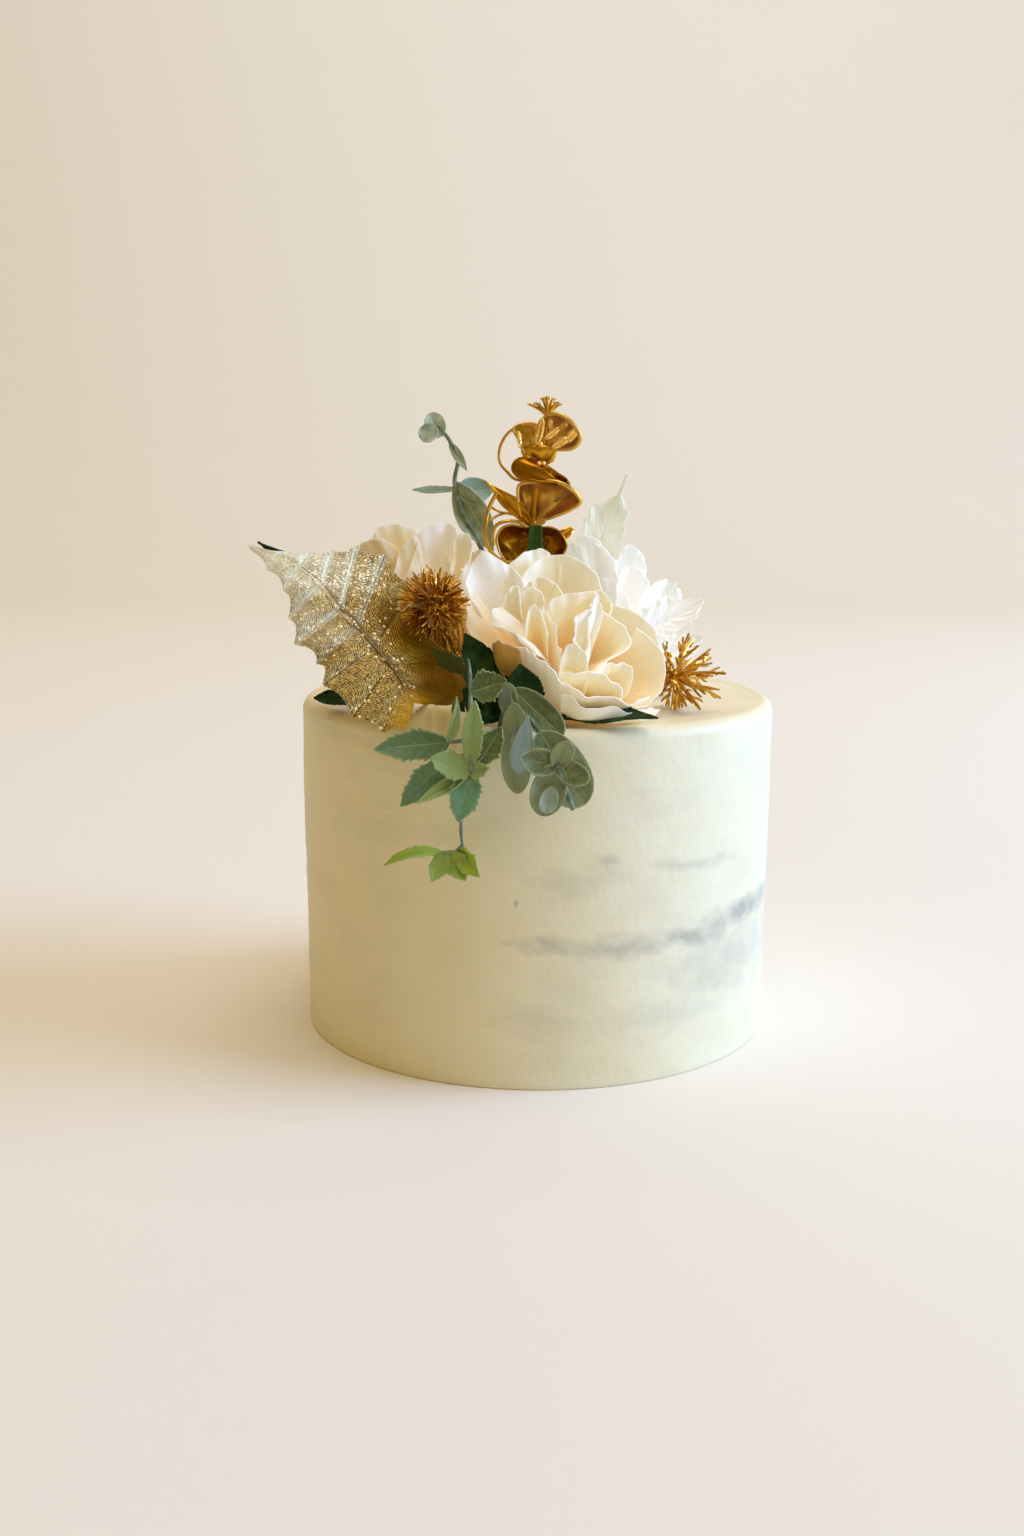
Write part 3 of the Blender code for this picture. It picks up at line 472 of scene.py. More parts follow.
def leaf_skin(name, dark, light, vein, bloom, roughness, through=0.15, gloss=0.3, edge=None, accent_and_reflection=None,
              cool=None, deep_shade=None):
    """A leaf: a midrib and side veins, mottled between two greens by its tone, with a whitish bloom.

    The tone runs from 0, dark, to 1, light, and on to 2, the accent colour, a painted bluish reflection on
    the grey-green leaves and their own lime on the light green ones. At -1 it is the cool colour, and at -2
    painted deep shade.
    """
    finish = Finish(name, light, roughness, Specular_IOR_Level=gloss)
    along, across, tone = (finish.mark(name) for name in ("along", "across", "tone"))
    across = abs(across)
    mottle = finish.noise(260.0, 4.0)
    body = (mottle + (tone - 0.5)).spread(0.35, 0.75).blend(dark, light)
    side = ((along - across * 0.28) * LEAF_VEINS).zigzag().spread(0.02, 0.10, 0.35, 0.0)
    lines = (side * across.spread(0.95, 0.4)).larger(across.spread(0.03, 0.09, 0.7, 0.0))
    body = lines.blend(body, vein)
    if cool:
        body = (tone.spread(0.0, -1.0) * mottle.spread(0.2, 0.7, 0.6, 1.0)).blend(body, cool)
    # The accent: lime on the light green leaves, a painted reflection on the grey-green ones
    if accent_and_reflection:
        body = (tone + mottle * 0.6).spread(1.2, 2.3).blend(body, accent_and_reflection)
    dust = finish.noise(700.0).spread(0.42, 0.78, 0.0, 0.6)
    body = (dust * bloom).blend(body, (0.55, 0.62, 0.55))
    if edge:
        rim = across.spread(0.88, 0.99, 0.0, 0.6).larger(along.spread(0.97, 1.0, 0.0, 0.6))
        body = rim.blend(body, edge)
    # Painted deep shade where the tone goes down towards -2
    if deep_shade:
        body = tone.spread(-1.0, -2.0).blend(body, deep_shade)
    finish.set(Base_Color=body, Normal=finish.bump(mottle, 0.00008, finish.bump(lines, 0.00012)))
    finish.let_light_through(through, body)
    return finish.material


def stem_skin(name, dark, light):
    finish = Finish(name, light, 0.6, Specular_IOR_Level=0.2)
    streaks = finish.noise(1.0, 2.0, finish.stretched(900, 900, 120))
    finish.set(Base_Color=finish.noise(300.0).spread(0.35, 0.7).blend(dark, light),
               Normal=finish.bump(streaks, 0.0001))
    return finish.material


def gilt(name, dark, bright, roughness):
    """Old gold paint on plastic; the tone paints shade, dark at -1, and a glowing highlight, bright at 1."""
    finish = Finish(name, bright, roughness, 0.96)
    tone = finish.mark("tone")
    patches = finish.noise(150.0, 4.0)
    body = patches.spread(0.25, 0.80).blend(dark, bright)
    body = tone.spread(0.0, -1.0).blend(body, dark)
    finish.set(Base_Color=tone.blend(body, (1.0, 0.70, 0.22)),
               Roughness=finish.noise(420.0).spread(0.3, 0.7, roughness - 0.08, roughness + 0.12),
               Normal=finish.bump(finish.noise(520.0), 0.00003, finish.bump(patches, 0.00008)))
    # Painted highlight: the bright tone also glows
    finish.glow(tone.blend(BLACK, (1.0, 0.72, 0.26)), GILT_GLOW)
    return finish.material


def gold_cloth():
    """Ribbed metallic cloth: silver and full of glitter, painted as glowing glints, at the tip and on the
    veins, amber at the foot.

    The tone is 1 on the brown midrib.
    """
    finish = Finish("gold_cloth", (0.62, 0.48, 0.24), 0.40, 0.35)
    along = finish.mark("along")
    across = finish.mark("across")
    vein_off = (along * GOLD_LEAF_RIBS + 0.5).zigzag()
    cloudy = finish.noise(70.0)
    # Knitted rows that bulge between the veins and break up into ticks
    row = abs(across) + (vein_off * math.pi).math("SINE") * 0.12 + cloudy * 0.08
    knit = (row * (2 * math.pi * KNIT_ROWS)).math("SINE")
    ticks = finish.parts_of(finish.cells(1.0, finish.vector_of(along * 190.0, row * 40.0, 0.0), "Color"))
    weave = knit * 0.55 + ticks[2].spread(0.0, 1.0, -1.0, 1.0)
    silvered = (along + (cloudy - 0.5) * 0.5).spread(0.38, 0.76)
    gold = weave.spread(-0.9, 1.1).blend((0.17, 0.082, 0.009), (0.88, 0.60, 0.14))
    silver = weave.spread(-1.1, 1.2).blend((0.38, 0.31, 0.15), (0.92, 0.89, 0.67))
    tip = weave.spread(-1.0, 1.0).blend((0.52, 0.42, 0.15), (1.0, 0.98, 0.82))
    body = along.spread(0.70, 0.90).blend(silvered.blend(gold, silver), tip)
    # Pale veins with painted shade in their groove, a painted highlight on the crease and a painted shadow
    # beside the midrib
    upper_half = across.spread(-0.1, 0.1, 0.65, 1.0)
    vein = vein_off.spread(0.05, 0.16, 1.0, 0.0) * upper_half * along.spread(0.30, 0.55)
    body = (vein * 0.8).blend(body, (0.86, 0.91, 0.76))
    groove = vein_off.spread(0.0, 0.035, 0.75, 0.0) * across.spread(-0.1, 0.1, 0.3, 1.0)
    body = groove.blend(body, (0.22, 0.13, 0.03))
    crease = across.spread(-0.060, -0.035) * across.spread(0.004, -0.010)
    body = (crease * along.spread(0.25, 0.7, 0.0, 0.6)).blend(body, (0.95, 0.91, 0.70))
    shadow = across.spread(0.0, 0.015) * across.spread(0.10, 0.04)
    body = (shadow * along.spread(0.93, 0.80, 0.0, 0.8)).blend(body, (0.20, 0.115, 0.025))
    # Painted shade: smooth dark ochre low on the right half, where it lies in shadow; rich amber at the foot
    amber = (along + abs(across) * -0.04 + cloudy * 0.10).spread(0.04, 0.16, 1.0, 0.0)
    shaded_half = across.spread(0.05, 0.35) * along.spread(0.42, 0.30)
    shade_ochre = cloudy.blend((0.17, 0.075, 0.001), (0.32, 0.165, 0.004))
    body = shaded_half.blend(body, shade_ochre)
    rich = weave.spread(-1.1, 1.3).blend((0.60, 0.25, 0.001), (1.0, 0.60, 0.03))
    body = (amber * across.spread(0.75, 0.2)).blend(body, rich)
    body = finish.mark("tone").blend(body, (0.15, 0.075, 0.012))
    # Glitter as painted glints that glow, in cells picked by chance, more of them near the tip and the veins
    chance = finish.parts_of(finish.cells(GLITTER_SCALE, output="Color"))
    wanted = silvered.spread(0.0, 1.0, 0.07, 0.75) + vein_off.spread(0.32, 0.06, 0.0, 0.35) * upper_half
    wanted = wanted * (1.0 - shaded_half) * across.spread(-0.15, 0.05, 0.5, 1.0)
    sparkle = finish.cells(GLITTER_SCALE).spread(0.44, 0.30) * (chance[0] < wanted)
    glint = silvered.blend((0.98, 0.78, 0.38), (1.0, 0.97, 0.80))
    finish.set(Base_Color=sparkle.blend(body, glint), Roughness=sparkle.spread(0.0, 1.0, 0.40, 0.25),
               Metallic=sparkle.spread(0.0, 1.0, shaded_half * 0.5 + 0.35, 0.1),
               Normal=finish.bump(weave, 0.00016, finish.bump(chance[1], 0.00025)))
    # Painted light: the silvered parts, the painted shade and the amber foot glow faintly, and the glints
    # glow brightest
    glow = (silvered * 0.80).blend(BLACK, body)
    glow = (shaded_half * 0.5).blend(glow, shade_ochre)
    glow = (amber * across.spread(0.75, 0.2, 0.0, 0.3)).blend(glow, rich)
    finish.glow(sparkle.blend(glow, glint), GOLD_GLOW)
    finish.let_light_through(0.12, body)
    return finish.material


def silver_cloth():
    """Pale greenish cloth with silver glitter, thin enough to let light through, with a faint painted glow.
    """
    finish = Finish("silver_cloth", (0.78, 0.80, 0.72), 0.42, 0.2)
    across = abs(finish.mark("across"))
    wave = ((finish.mark("along") - across * 0.3) * SILVER_VEINS).zigzag()
    vein = wave.spread(0.36, 0.5).larger(across.spread(0.0, 0.06, 1.0, 0.0))
    chance = finish.parts_of(finish.cells(1900.0, output="Color"))
    body = finish.noise(120.0).spread(0.3, 0.7).blend((0.80, 0.84, 0.68), (0.97, 0.98, 0.90))
    body = finish.mark("tone").blend(body, (0.98, 0.96, 0.91))
    body = vein.blend(body, (0.97, 0.97, 0.93))
    finish.set(Base_Color=chance[0].spread(0.78, 0.82).blend(body, (0.98, 0.98, 0.96)),
               Normal=finish.bump(chance[1], 0.0003, finish.bump(vein, 0.0002)))
    finish.glow(body, SILVER_GLOW)
    finish.let_light_through(0.45, body)
    return finish.material


# Outlines: half widths as shares, for an array of places along a leaf


def leaf_outline(v):
    return np.maximum(0.05, np.sin(math.pi * np.minimum(v, 0.99) ** 0.8) ** 0.85)


def disc_outline(v):
    return np.maximum(0.10, np.sqrt(np.maximum(0, 1 - (2 * v - 1) ** 2)))


def tailed_outline(v):
    return np.maximum(0.04, np.sin(math.pi * np.minimum(v / 0.80, 0.99) ** 1.1) ** 0.8)


def spear_outline(v):
    return np.maximum(0.04, np.sin(math.pi * np.minimum(v, 0.99) ** 0.62) ** 1.05)


def strap_outline(v):
    return 0.75 + 0.25 * np.sin(math.pi * v)


# Sheets


def steps(rows, columns):
    """Places along a sheet from 0 to 1, as a column, and across it from -1 to 1, as a row."""
    return np.linspace(0, 1, rows + 1)[:, None], np.linspace(-1, 1, columns + 1)[None, :]


def blade(base, tip, face, rise, aside, lift):
    """The points of a blade that looks towards face, from shares of its chord and distances from it."""
    chord = tip - base
    side = unit(np.cross(chord, face))
    inward = unit(np.cross(side, chord))
    grid = base + chord * rise[..., None] + side * aside[..., None] + inward * lift[..., None]
    return grid, inward


def petal(piece, base, tip, face, width, bow, cup, flare, phase, ruffle, tone):
    """A petal with a narrow foot and a broad round end whose rim is ruffled."""
    v, u = steps(PETAL_ROWS, PETAL_COLUMNS)
    v = np.sin(0.5 * math.pi * v)
    half = 0.5 * width * (0.13 + 0.87 * np.sin(0.5 * math.pi * np.minimum(v / 0.66, 1)))
    half = half * (1 - 0.20 * np.clip((v - 0.66) / 0.34, 0, 1) ** 2)
    around = np.arctan2(u, v - 0.35)
    rim = np.maximum(u**4, v**6) * v
    rise = v - 0.30 * v**4 * np.abs(u) ** 2.3 + 0.010 * rim * np.sin(6 * around + 1.7 * phase) * v
    wave = np.sin(4 * around + phase) + 0.55 * np.sin(9 * around + 2.3 * phase)
    lift = half * (1 - np.cos(u * cup)) / cup - 4 * bow * v * (1 - v) - flare * v**3 + ruffle * rim * wave
    lift = lift - 0.0005 * np.exp(-(u / 0.10) ** 2) * v * (1 - v)
    grid, inward = blade(base, tip, face, rise, half * np.sin(u * cup) / cup, lift)
    grid = grid + inward * (0.0006 * v * uneven(grid, 0.016, 11))[..., None]
    piece.sheet(grid, u, v, PETAL_THICKNESS, tone)


def drawn_grid(foot, waist, rim, foot_width, rows, columns):
    """A grid of points from a foot, by way of a waist, to a rim that is drawn point by point."""
    v, u = steps(rows, columns)
    w = v[..., None]
    edge = smoothed(rim, columns + 1)[None]
    side = unit(edge[0, -1] - edge[0, 0])
    start = foot + side * (foot_width * 0.5 * u)[..., None]
    middle = waist + 0.7 * (edge - edge.mean(axis=1, keepdims=True))
    grid = (1 - w) ** 2 * start + 2 * w * (1 - w) * middle + w**2 * edge
    inward = unit(np.cross(side, edge[0].mean(axis=0) - foot))
    return grid, u, v, inward, edge[0]


def shaped_petal(piece, foot, waist, rim, phase, tone):
    """A petal with a drawn rim, ruffled towards it."""
    grid, u, v, inward, edge = drawn_grid(foot, waist, rim, PETAL_FOOT_WIDTH, 30, 36)
    rim_share = np.maximum(u**4 * v, v**5)
    wave = np.sin(8 * u + phase) + 0.5 * np.sin(17 * u + 2.3 * phase)
    grid = grid + inward * (0.0005 * rim_share * wave)[..., None]
    grid = grid + inward * (0.0005 * v * uneven(grid, 0.013, 11))[..., None]
    frill = np.sin(9 * u + phase) + 0.35 * np.sin(21 * u)
    grid = grid + (edge - waist) * (0.010 * rim_share * frill)[..., None]
    piece.sheet(grid, u, v, PETAL_THICKNESS, tone)


def shaped_leaf(piece, foot, waist, rim, bead, tone):
    """A stiff gilded leaf with a drawn rim and a bead along it, made bright by a painted highlight."""
    grid, u, v, inward, edge = drawn_grid(foot, waist, rim, 0.002, 22, 40)
    pleats = GILT_PLEATS * np.sin(7.5 * u + 1) * v * (1 - v)
    grid = grid + inward * (0.00015 * uneven(grid, 0.006, 12) + pleats)[..., None]
    piece.sheet(grid, u, v, GILT_THICKNESS, tone)
    if bead:
        ends = np.sin(math.pi * np.linspace(0.04, 0.96, len(edge))) ** 0.4
        piece.rod(edge, bead * ends, 0, BEAD_HIGHLIGHT, sides=8)


def leaf(piece, base, tip, face, width, outline, bow, cup, phase=0.0, teeth=0, tooth=0.16, wave=0.08, rows=36,
         columns=14, groove=0.0003, slot=0, tone=0.5, thickness=LEAF_THICKNESS, rim=0.0):
    """A leaf with teeth along its edge, a groove along its middle, and a bead of radius rim round it."""
    v, u = steps(rows, columns)
    if outline is disc_outline:
        v = 0.5 - 0.5 * np.cos(math.pi * v)
    half = 0.5 * width * outline(v)
    edge = np.abs(u) ** 5
    saw = ((v * teeth + 0.25 * np.sign(u) + 0.15 * np.sin(9 * v + phase)) % 1.0) * (
        0.7 + 0.4 * np.sin(17 * v + 3 * phase + 2 * np.sign(u)))
    half_at = half * (1 + tooth * (saw - 0.5) * edge * (teeth > 0))
    rise = v + edge * 0.04 * np.sin(math.pi * v)
    lift = half * (1 - np.cos(u * cup)) / cup - 4 * bow * v * (1 - v)
    lift = lift + wave * width * np.abs(u) ** 2 * np.sin(7 * v + 2 * u + phase) * np.sin(math.pi * v)
    lift = lift - groove * np.exp(-(u / 0.12) ** 2) * np.sin(math.pi * v)
    ribs = np.cos(2 * math.pi * LEAF_VEINS * (v - 0.28 * np.abs(u)))
    lift = lift + 0.35 * groove * ribs * (1 - edge) * np.abs(u)
    grid, _ = blade(base, tip, face, rise, half_at * np.sin(u * cup) / cup, lift)
    border = piece.sheet(grid, u, v, thickness, tone, slot)
    if rim:
        piece.rod(np.concatenate([border, border[:1]])[::2], rim, slot, 0.5, sides=6)


# The cake


def make_cake():
    """The frosted drum: a level scraped side, a rounded rim, and a top with the strokes of a spatula."""
    turn = 2 * math.pi * np.arange(CAKE_SIDES) / CAKE_SIDES
    foot_arc = np.linspace(-0.5 * math.pi, 0, 4)
    foot = np.stack([CAKE_FOOT_RADIUS - CAKE_FOOT_ROUNDING * (1 - np.cos(foot_arc)),
                     CAKE_FOOT_ROUNDING * (1 + np.sin(foot_arc))], -1)
    share = np.linspace(0, 1, 76)[1:-1]
    side = np.stack([CAKE_FOOT_RADIUS + (CAKE_TOP_RADIUS - CAKE_FOOT_RADIUS) * share,
                     CAKE_FOOT_ROUNDING + (CAKE_TOP - CAKE_RIM_ROUNDING - CAKE_FOOT_ROUNDING) * share], -1)
    rim_arc = np.linspace(0, 0.5 * math.pi, 12)
    rim = np.stack([CAKE_TOP_RADIUS - CAKE_RIM_ROUNDING * (1 - np.cos(rim_arc)),
                    CAKE_TOP - CAKE_RIM_ROUNDING * (1 - np.sin(rim_arc))], -1)
    inner = CAKE_TOP_RADIUS - CAKE_RIM_ROUNDING
    top = np.stack([inner * (1 - np.linspace(0, 1, 46)[1:-1]), np.full(44, CAKE_TOP)], -1)
    profile = np.concatenate([foot, side, rim, top])
    radius, height = profile[:, 0, None], profile[:, 1, None] + 0 * turn
    ring = np.stack([radius * np.cos(turn), radius * np.sin(turn), height], -1)
    # Uneven scraping on the side and round strokes on the top
    scraped = 0.00022 * uneven(ring * (1, 1, 2.2), 0.09, 3) + 0.00007 * uneven(ring * (0.4, 0.4, 1), 0.006, 4)
    inward = (0.0003 - scraped) * np.clip(height / 0.004, 0, 1)
    on_top = np.clip(1 - (radius - inner + 0.002) / 0.004, 0, 1) * (height > CAKE_TOP - 0.003)
    stroke = np.sin(3 * turn + radius * 210) * 0.5 + uneven(ring, 0.030, 5) * 0.6
    ring[..., 0] -= inward * np.cos(turn) * (1 - on_top)
    ring[..., 1] -= inward * np.sin(turn) * (1 - on_top)
    ring[..., 2] -= (0.0005 - 0.00022 * stroke) * on_top
    # Lumps, with painted shade in the crease round each, and painted shade under the gold leaf
    x, y = ring[..., 0], ring[..., 1]
    near_top = height > CAKE_TOP - 0.012
    painted_shade = LEAF_SHADE[3] * np.exp(-((x - LEAF_SHADE[0]) ** 2 + (y - LEAF_SHADE[1]) ** 2) / LEAF_SHADE[2] ** 2) * near_top
    for at_x, at_y, high, long, wide in PUCKERS:
        off = ((x - at_x) / long) ** 2 + ((y - at_y) / wide) ** 2
        ring[..., 2] += high * np.exp(-off**1.5) * (height > CAKE_TOP - 0.02)
        if high > CREASED_HEIGHT:
            painted_shade = np.maximum(painted_shade, np.exp(-((np.sqrt(off) - 1.15) / 0.30) ** 2) * near_top)
    piece = Piece()
    piece.tube(ring, [(0, 0, 0), (0, 0, CAKE_TOP - 0.0005)], 0, 0.0, np.append(painted_shade, (0, 0)))
    piece.made("cake", "buttercream", buttercream())


# The flowers


def flower(node, slot, base, axis, drawn, plain, stem, finishes, ruffle=0.0006, tone=None):
    """A flower: petals, a green cup with five sepals, and a stem that goes down into the cake.

    A drawn petal's row has its tone, its waist and its rim from one side round to the other, in millimetres;
    a plain one's its tip, width, bow, cup, flare and lift.
    """
    piece = Piece()
    line = smoothed(mm([base, *stem]), 18)
    base = mm(base)
    axis = unit(axis)
    for index, (petal_tone, waist, rim) in enumerate(drawn):
        foot = base + unit(mm(waist) - base) * FOOT_DEPTH
        shaped_petal(piece, foot, mm(waist), mm(rim), 1.3 * index, petal_tone)
    focus = base + axis * FOCUS_DISTANCE
    for index, (tip, width, bow, cup, flare, lift) in enumerate(plain):
        foot = base + unit(unit(tip - base) + axis * (lift / CORE_RADIUS)) * FOOT_DEPTH
        petal(piece, foot, tip, focus - (0.4 * foot + 0.6 * tip), width, bow, cup, flare, 1.7 * index,
              ruffle * min(1, width / 0.02), 0.06 * (index % 4) if tone is None else tone)
    piece.ball(base - axis * 0.002, CORE_RADIUS * 0.9, axis, 1.25, slot=1)
    right = unit(np.cross(axis, (0.2, 1, 0.1)))
    up = np.cross(axis, right)
    for turn in 2 * math.pi * np.arange(SEPALS) / SEPALS + 0.4:
        out = right * math.cos(turn) + up * math.sin(turn)
        leaf(piece, base - axis * 0.003 + out * 0.003, base + out * 0.017 + axis * 0.004, axis, 0.0055,
             leaf_outline, 0.002, 0.6, slot=1, rows=14, columns=8)
    piece.rod(line, FLOWER_STEM_RADIUS, 2)
    piece.made(node, slot, *finishes)


def ring_of_petals(base, axis, count, reach, height, width, start, bow, cup, flare, lift):
    """Petals set evenly round a flower's axis, as rows of plain petals for flower()."""
    axis = unit(axis)
    right = np.array(Vector(axis).orthogonal().normalized())
    up = np.cross(axis, right)
    rows = []
    for index in range(count):
        turn = start + 2 * math.pi * index / count
        size = 1 + 0.10 * math.sin(5.1 * index + 10 * start)
        out = right * math.cos(turn) + up * math.sin(turn)
        tip = mm(base) + out * (reach * size) + axis * (height / size)
        rows.append((tip, width * size, bow, cup, flare, lift))
    return rows


def make_front_rose(finishes):
    """The big cream rose at the front, which faces up, forward and a little right."""
    drawn = [
        # The tone of each petal paints light and shade: towards 1 a painted highlight, below 0 painted shade
        # tone, waist, rim from one side round to the other: the petal at the upper left, painted white as a
        # highlight
        (0.95, (-11, -42, 137), [(-18, -50, 144), (-22, -48, 149), (-22, -45, 153), (-17.8, -43, 160),
         (-12.8, -41, 158.3), (-8, -40, 155.5), (-4.7, -42, 150.4)]),
        # the outer petals on the left, and the one that hangs down, in painted shade
        (-0.25, (-14, -50, 130), [(-19.6, -46, 149), (-22, -52, 144.4), (-21.3, -56, 138),
         (-18.5, -58, 132.4), (-12.7, -62, 127.2)]),
        (-0.4, (-9, -58, 130), [(-14.5, -62, 134.3), (-12.3, -66, 128.6), (-9, -68, 123.8), (-5.2, -68, 129),
         (-4.6, -66, 132.2)]),
        # the cup at the front and the long petal that lies on the cake
        (0.3, (2.4, -64, 109), [(-7, -69.5, 134.4), (-3.5, -73, 133.2), (0.5, -76, 130.8), (5.3, -78, 127.3),
         (10, -76, 120.3)]),
        (0.25, (19, -71, 105.5), [(7, -77, 121.5), (14.5, -77, 118.2), (24.4, -73, 116.2), (32.2, -66, 115.2),
         (36.7, -58, 113.8)]),
        # the petals at the back
        (0.4, (0.7, -22, 131), [(-9.8, -36, 155.5), (-4.6, -30, 159.2), (-0.2, -26, 160.3), (4.3, -24, 158.3),
         (6.8, -28, 155)]),
        (0.5, (7.2, -22, 131), [(-5.7, -38, 150.7), (-2, -34, 155.8), (3, -30, 158.3), (11.5, -28, 157.7),
         (17.5, -30, 153.4), (20, -34, 147.5)]),
        (0.4, (27, -30, 124), [(20, -36, 145.2), (25, -36, 143.3), (31, -38, 141), (36.2, -42, 136.5),
         (37.6, -46, 131.4)]),
        (0.3, (31, -44, 118), [(30, -48, 137.7), (35.7, -50, 133.4), (38.7, -52, 128.4), (38.4, -54, 121.7),
         (34.7, -57, 116.2), (29, -60, 114.8)]),
        # the middle petals
        (0.3, (1.6, -38, 133), [(-4.6, -48, 149), (-2.5, -47, 151.7), (0.8, -46, 153), (4.8, -46, 151.4),
         (7.6, -48, 147.3)]),
        (0.1, (16, -40, 130), [(6.6, -52, 146.4), (11.2, -48, 147.3), (19, -44, 149), (22.7, -44, 144.6),
         (20.7, -50, 138.8)]),
        (0.2, (16.7, -46, 129), [(16.8, -56, 146.8), (20.5, -55, 142.3), (25.9, -55, 139), (27.7, -58, 134),
         (22, -64, 130.4), (17.2, -70, 126.3)]),
        (0.3, (22.6, -58, 116), [(16.6, -71, 126.4), (20.7, -68, 129), (25, -65, 129.6), (28.4, -64, 126.2),
         (27.2, -66, 120.5)]),
        (0.2, (19, -62, 111), [(7, -77, 124.8), (12.4, -77, 122), (19.8, -74, 120), (29, -68, 117.8),
         (33.8, -60, 118.5)]),
        (0.1, (16.4, -62, 114), [(6.5, -76, 127), (11.7, -76, 128), (19, -73, 126), (24.3, -69, 122.7),
         (25, -70, 119)]),
        # the pouch under the long petal, at the lower left, painted ochre as deep shade
        (-1.8, (-8, -79, 118), [(-10.8, -66, 129.3), (-13.2, -66, 134.0), (-11.8, -68, 135.3),
         (-8.9, -69, 135.1), (-5.9, -70, 133.8), (-4.6, -70, 129.8)]),
        # the heart: narrow petals, folded and upright
        (0.6, (-1.7, -70, 137.4), [(-11.4, -58, 144.7), (-14, -62, 143.6), (-11.2, -66, 139.8),
         (-5.8, -70, 137.3), (-1, -72, 131.7)]),
        (0.4, (-6.6, -52, 134), [(-10.5, -58, 145), (-9.6, -57, 148.8), (-7, -56, 150.8), (-5.4, -57, 149),
         (-5.4, -60, 145.2)]),
        (0.4, (-1.8, -48, 134), [(-5.7, -56, 145.5), (-4.8, -56, 149.4), (-2.2, -56, 150.6), (0.8, -56, 149),
         (1.8, -57, 145.6)]),
        (0.1, (10.8, -48, 132.4), [(1, -60, 144), (4.2, -58, 147), (10.2, -55, 148.8), (17.8, -52, 148.6),
         (15.6, -54, 144.8)]),
        (0.0, (-0.5, -58, 126.4), [(-4, -68, 137), (-3.2, -66, 142.8), (-1.5, -64, 146.2), (1, -64, 143.8),
         (3, -68, 137.8)]),
        (0.3, (3.7, -60, 126.7), [(1, -63, 144), (3.3, -62, 143.7), (5.3, -66, 139.3), (6.8, -70, 133.3)]),
        (0.9, (13.6, -60, 125.6), [(12.4, -70, 133.6), (10.3, -69, 137.3), (10.6, -67, 141.5),
         (14.7, -64, 144.8), (15.4, -64, 141)]),
        (0.8, (16.4, -60, 120.8), [(14.2, -70, 128), (15, -68, 136), (15.4, -63, 144), (17.2, -60, 149),
         (18.7, -60, 144.8)]),
        (0.3, (11, -66, 115.6), [(6.3, -74, 126.2), (7, -74, 132), (10.2, -74, 135), (14, -73, 132.5),
         (14.7, -73, 126.7)]),
    ]
    flower("rose_front", "cream_petal", (5, -34, 121), (0.28, -0.75, 0.6), drawn, [],
           [(4, -30, 116), sunk(4, -28)], finishes)


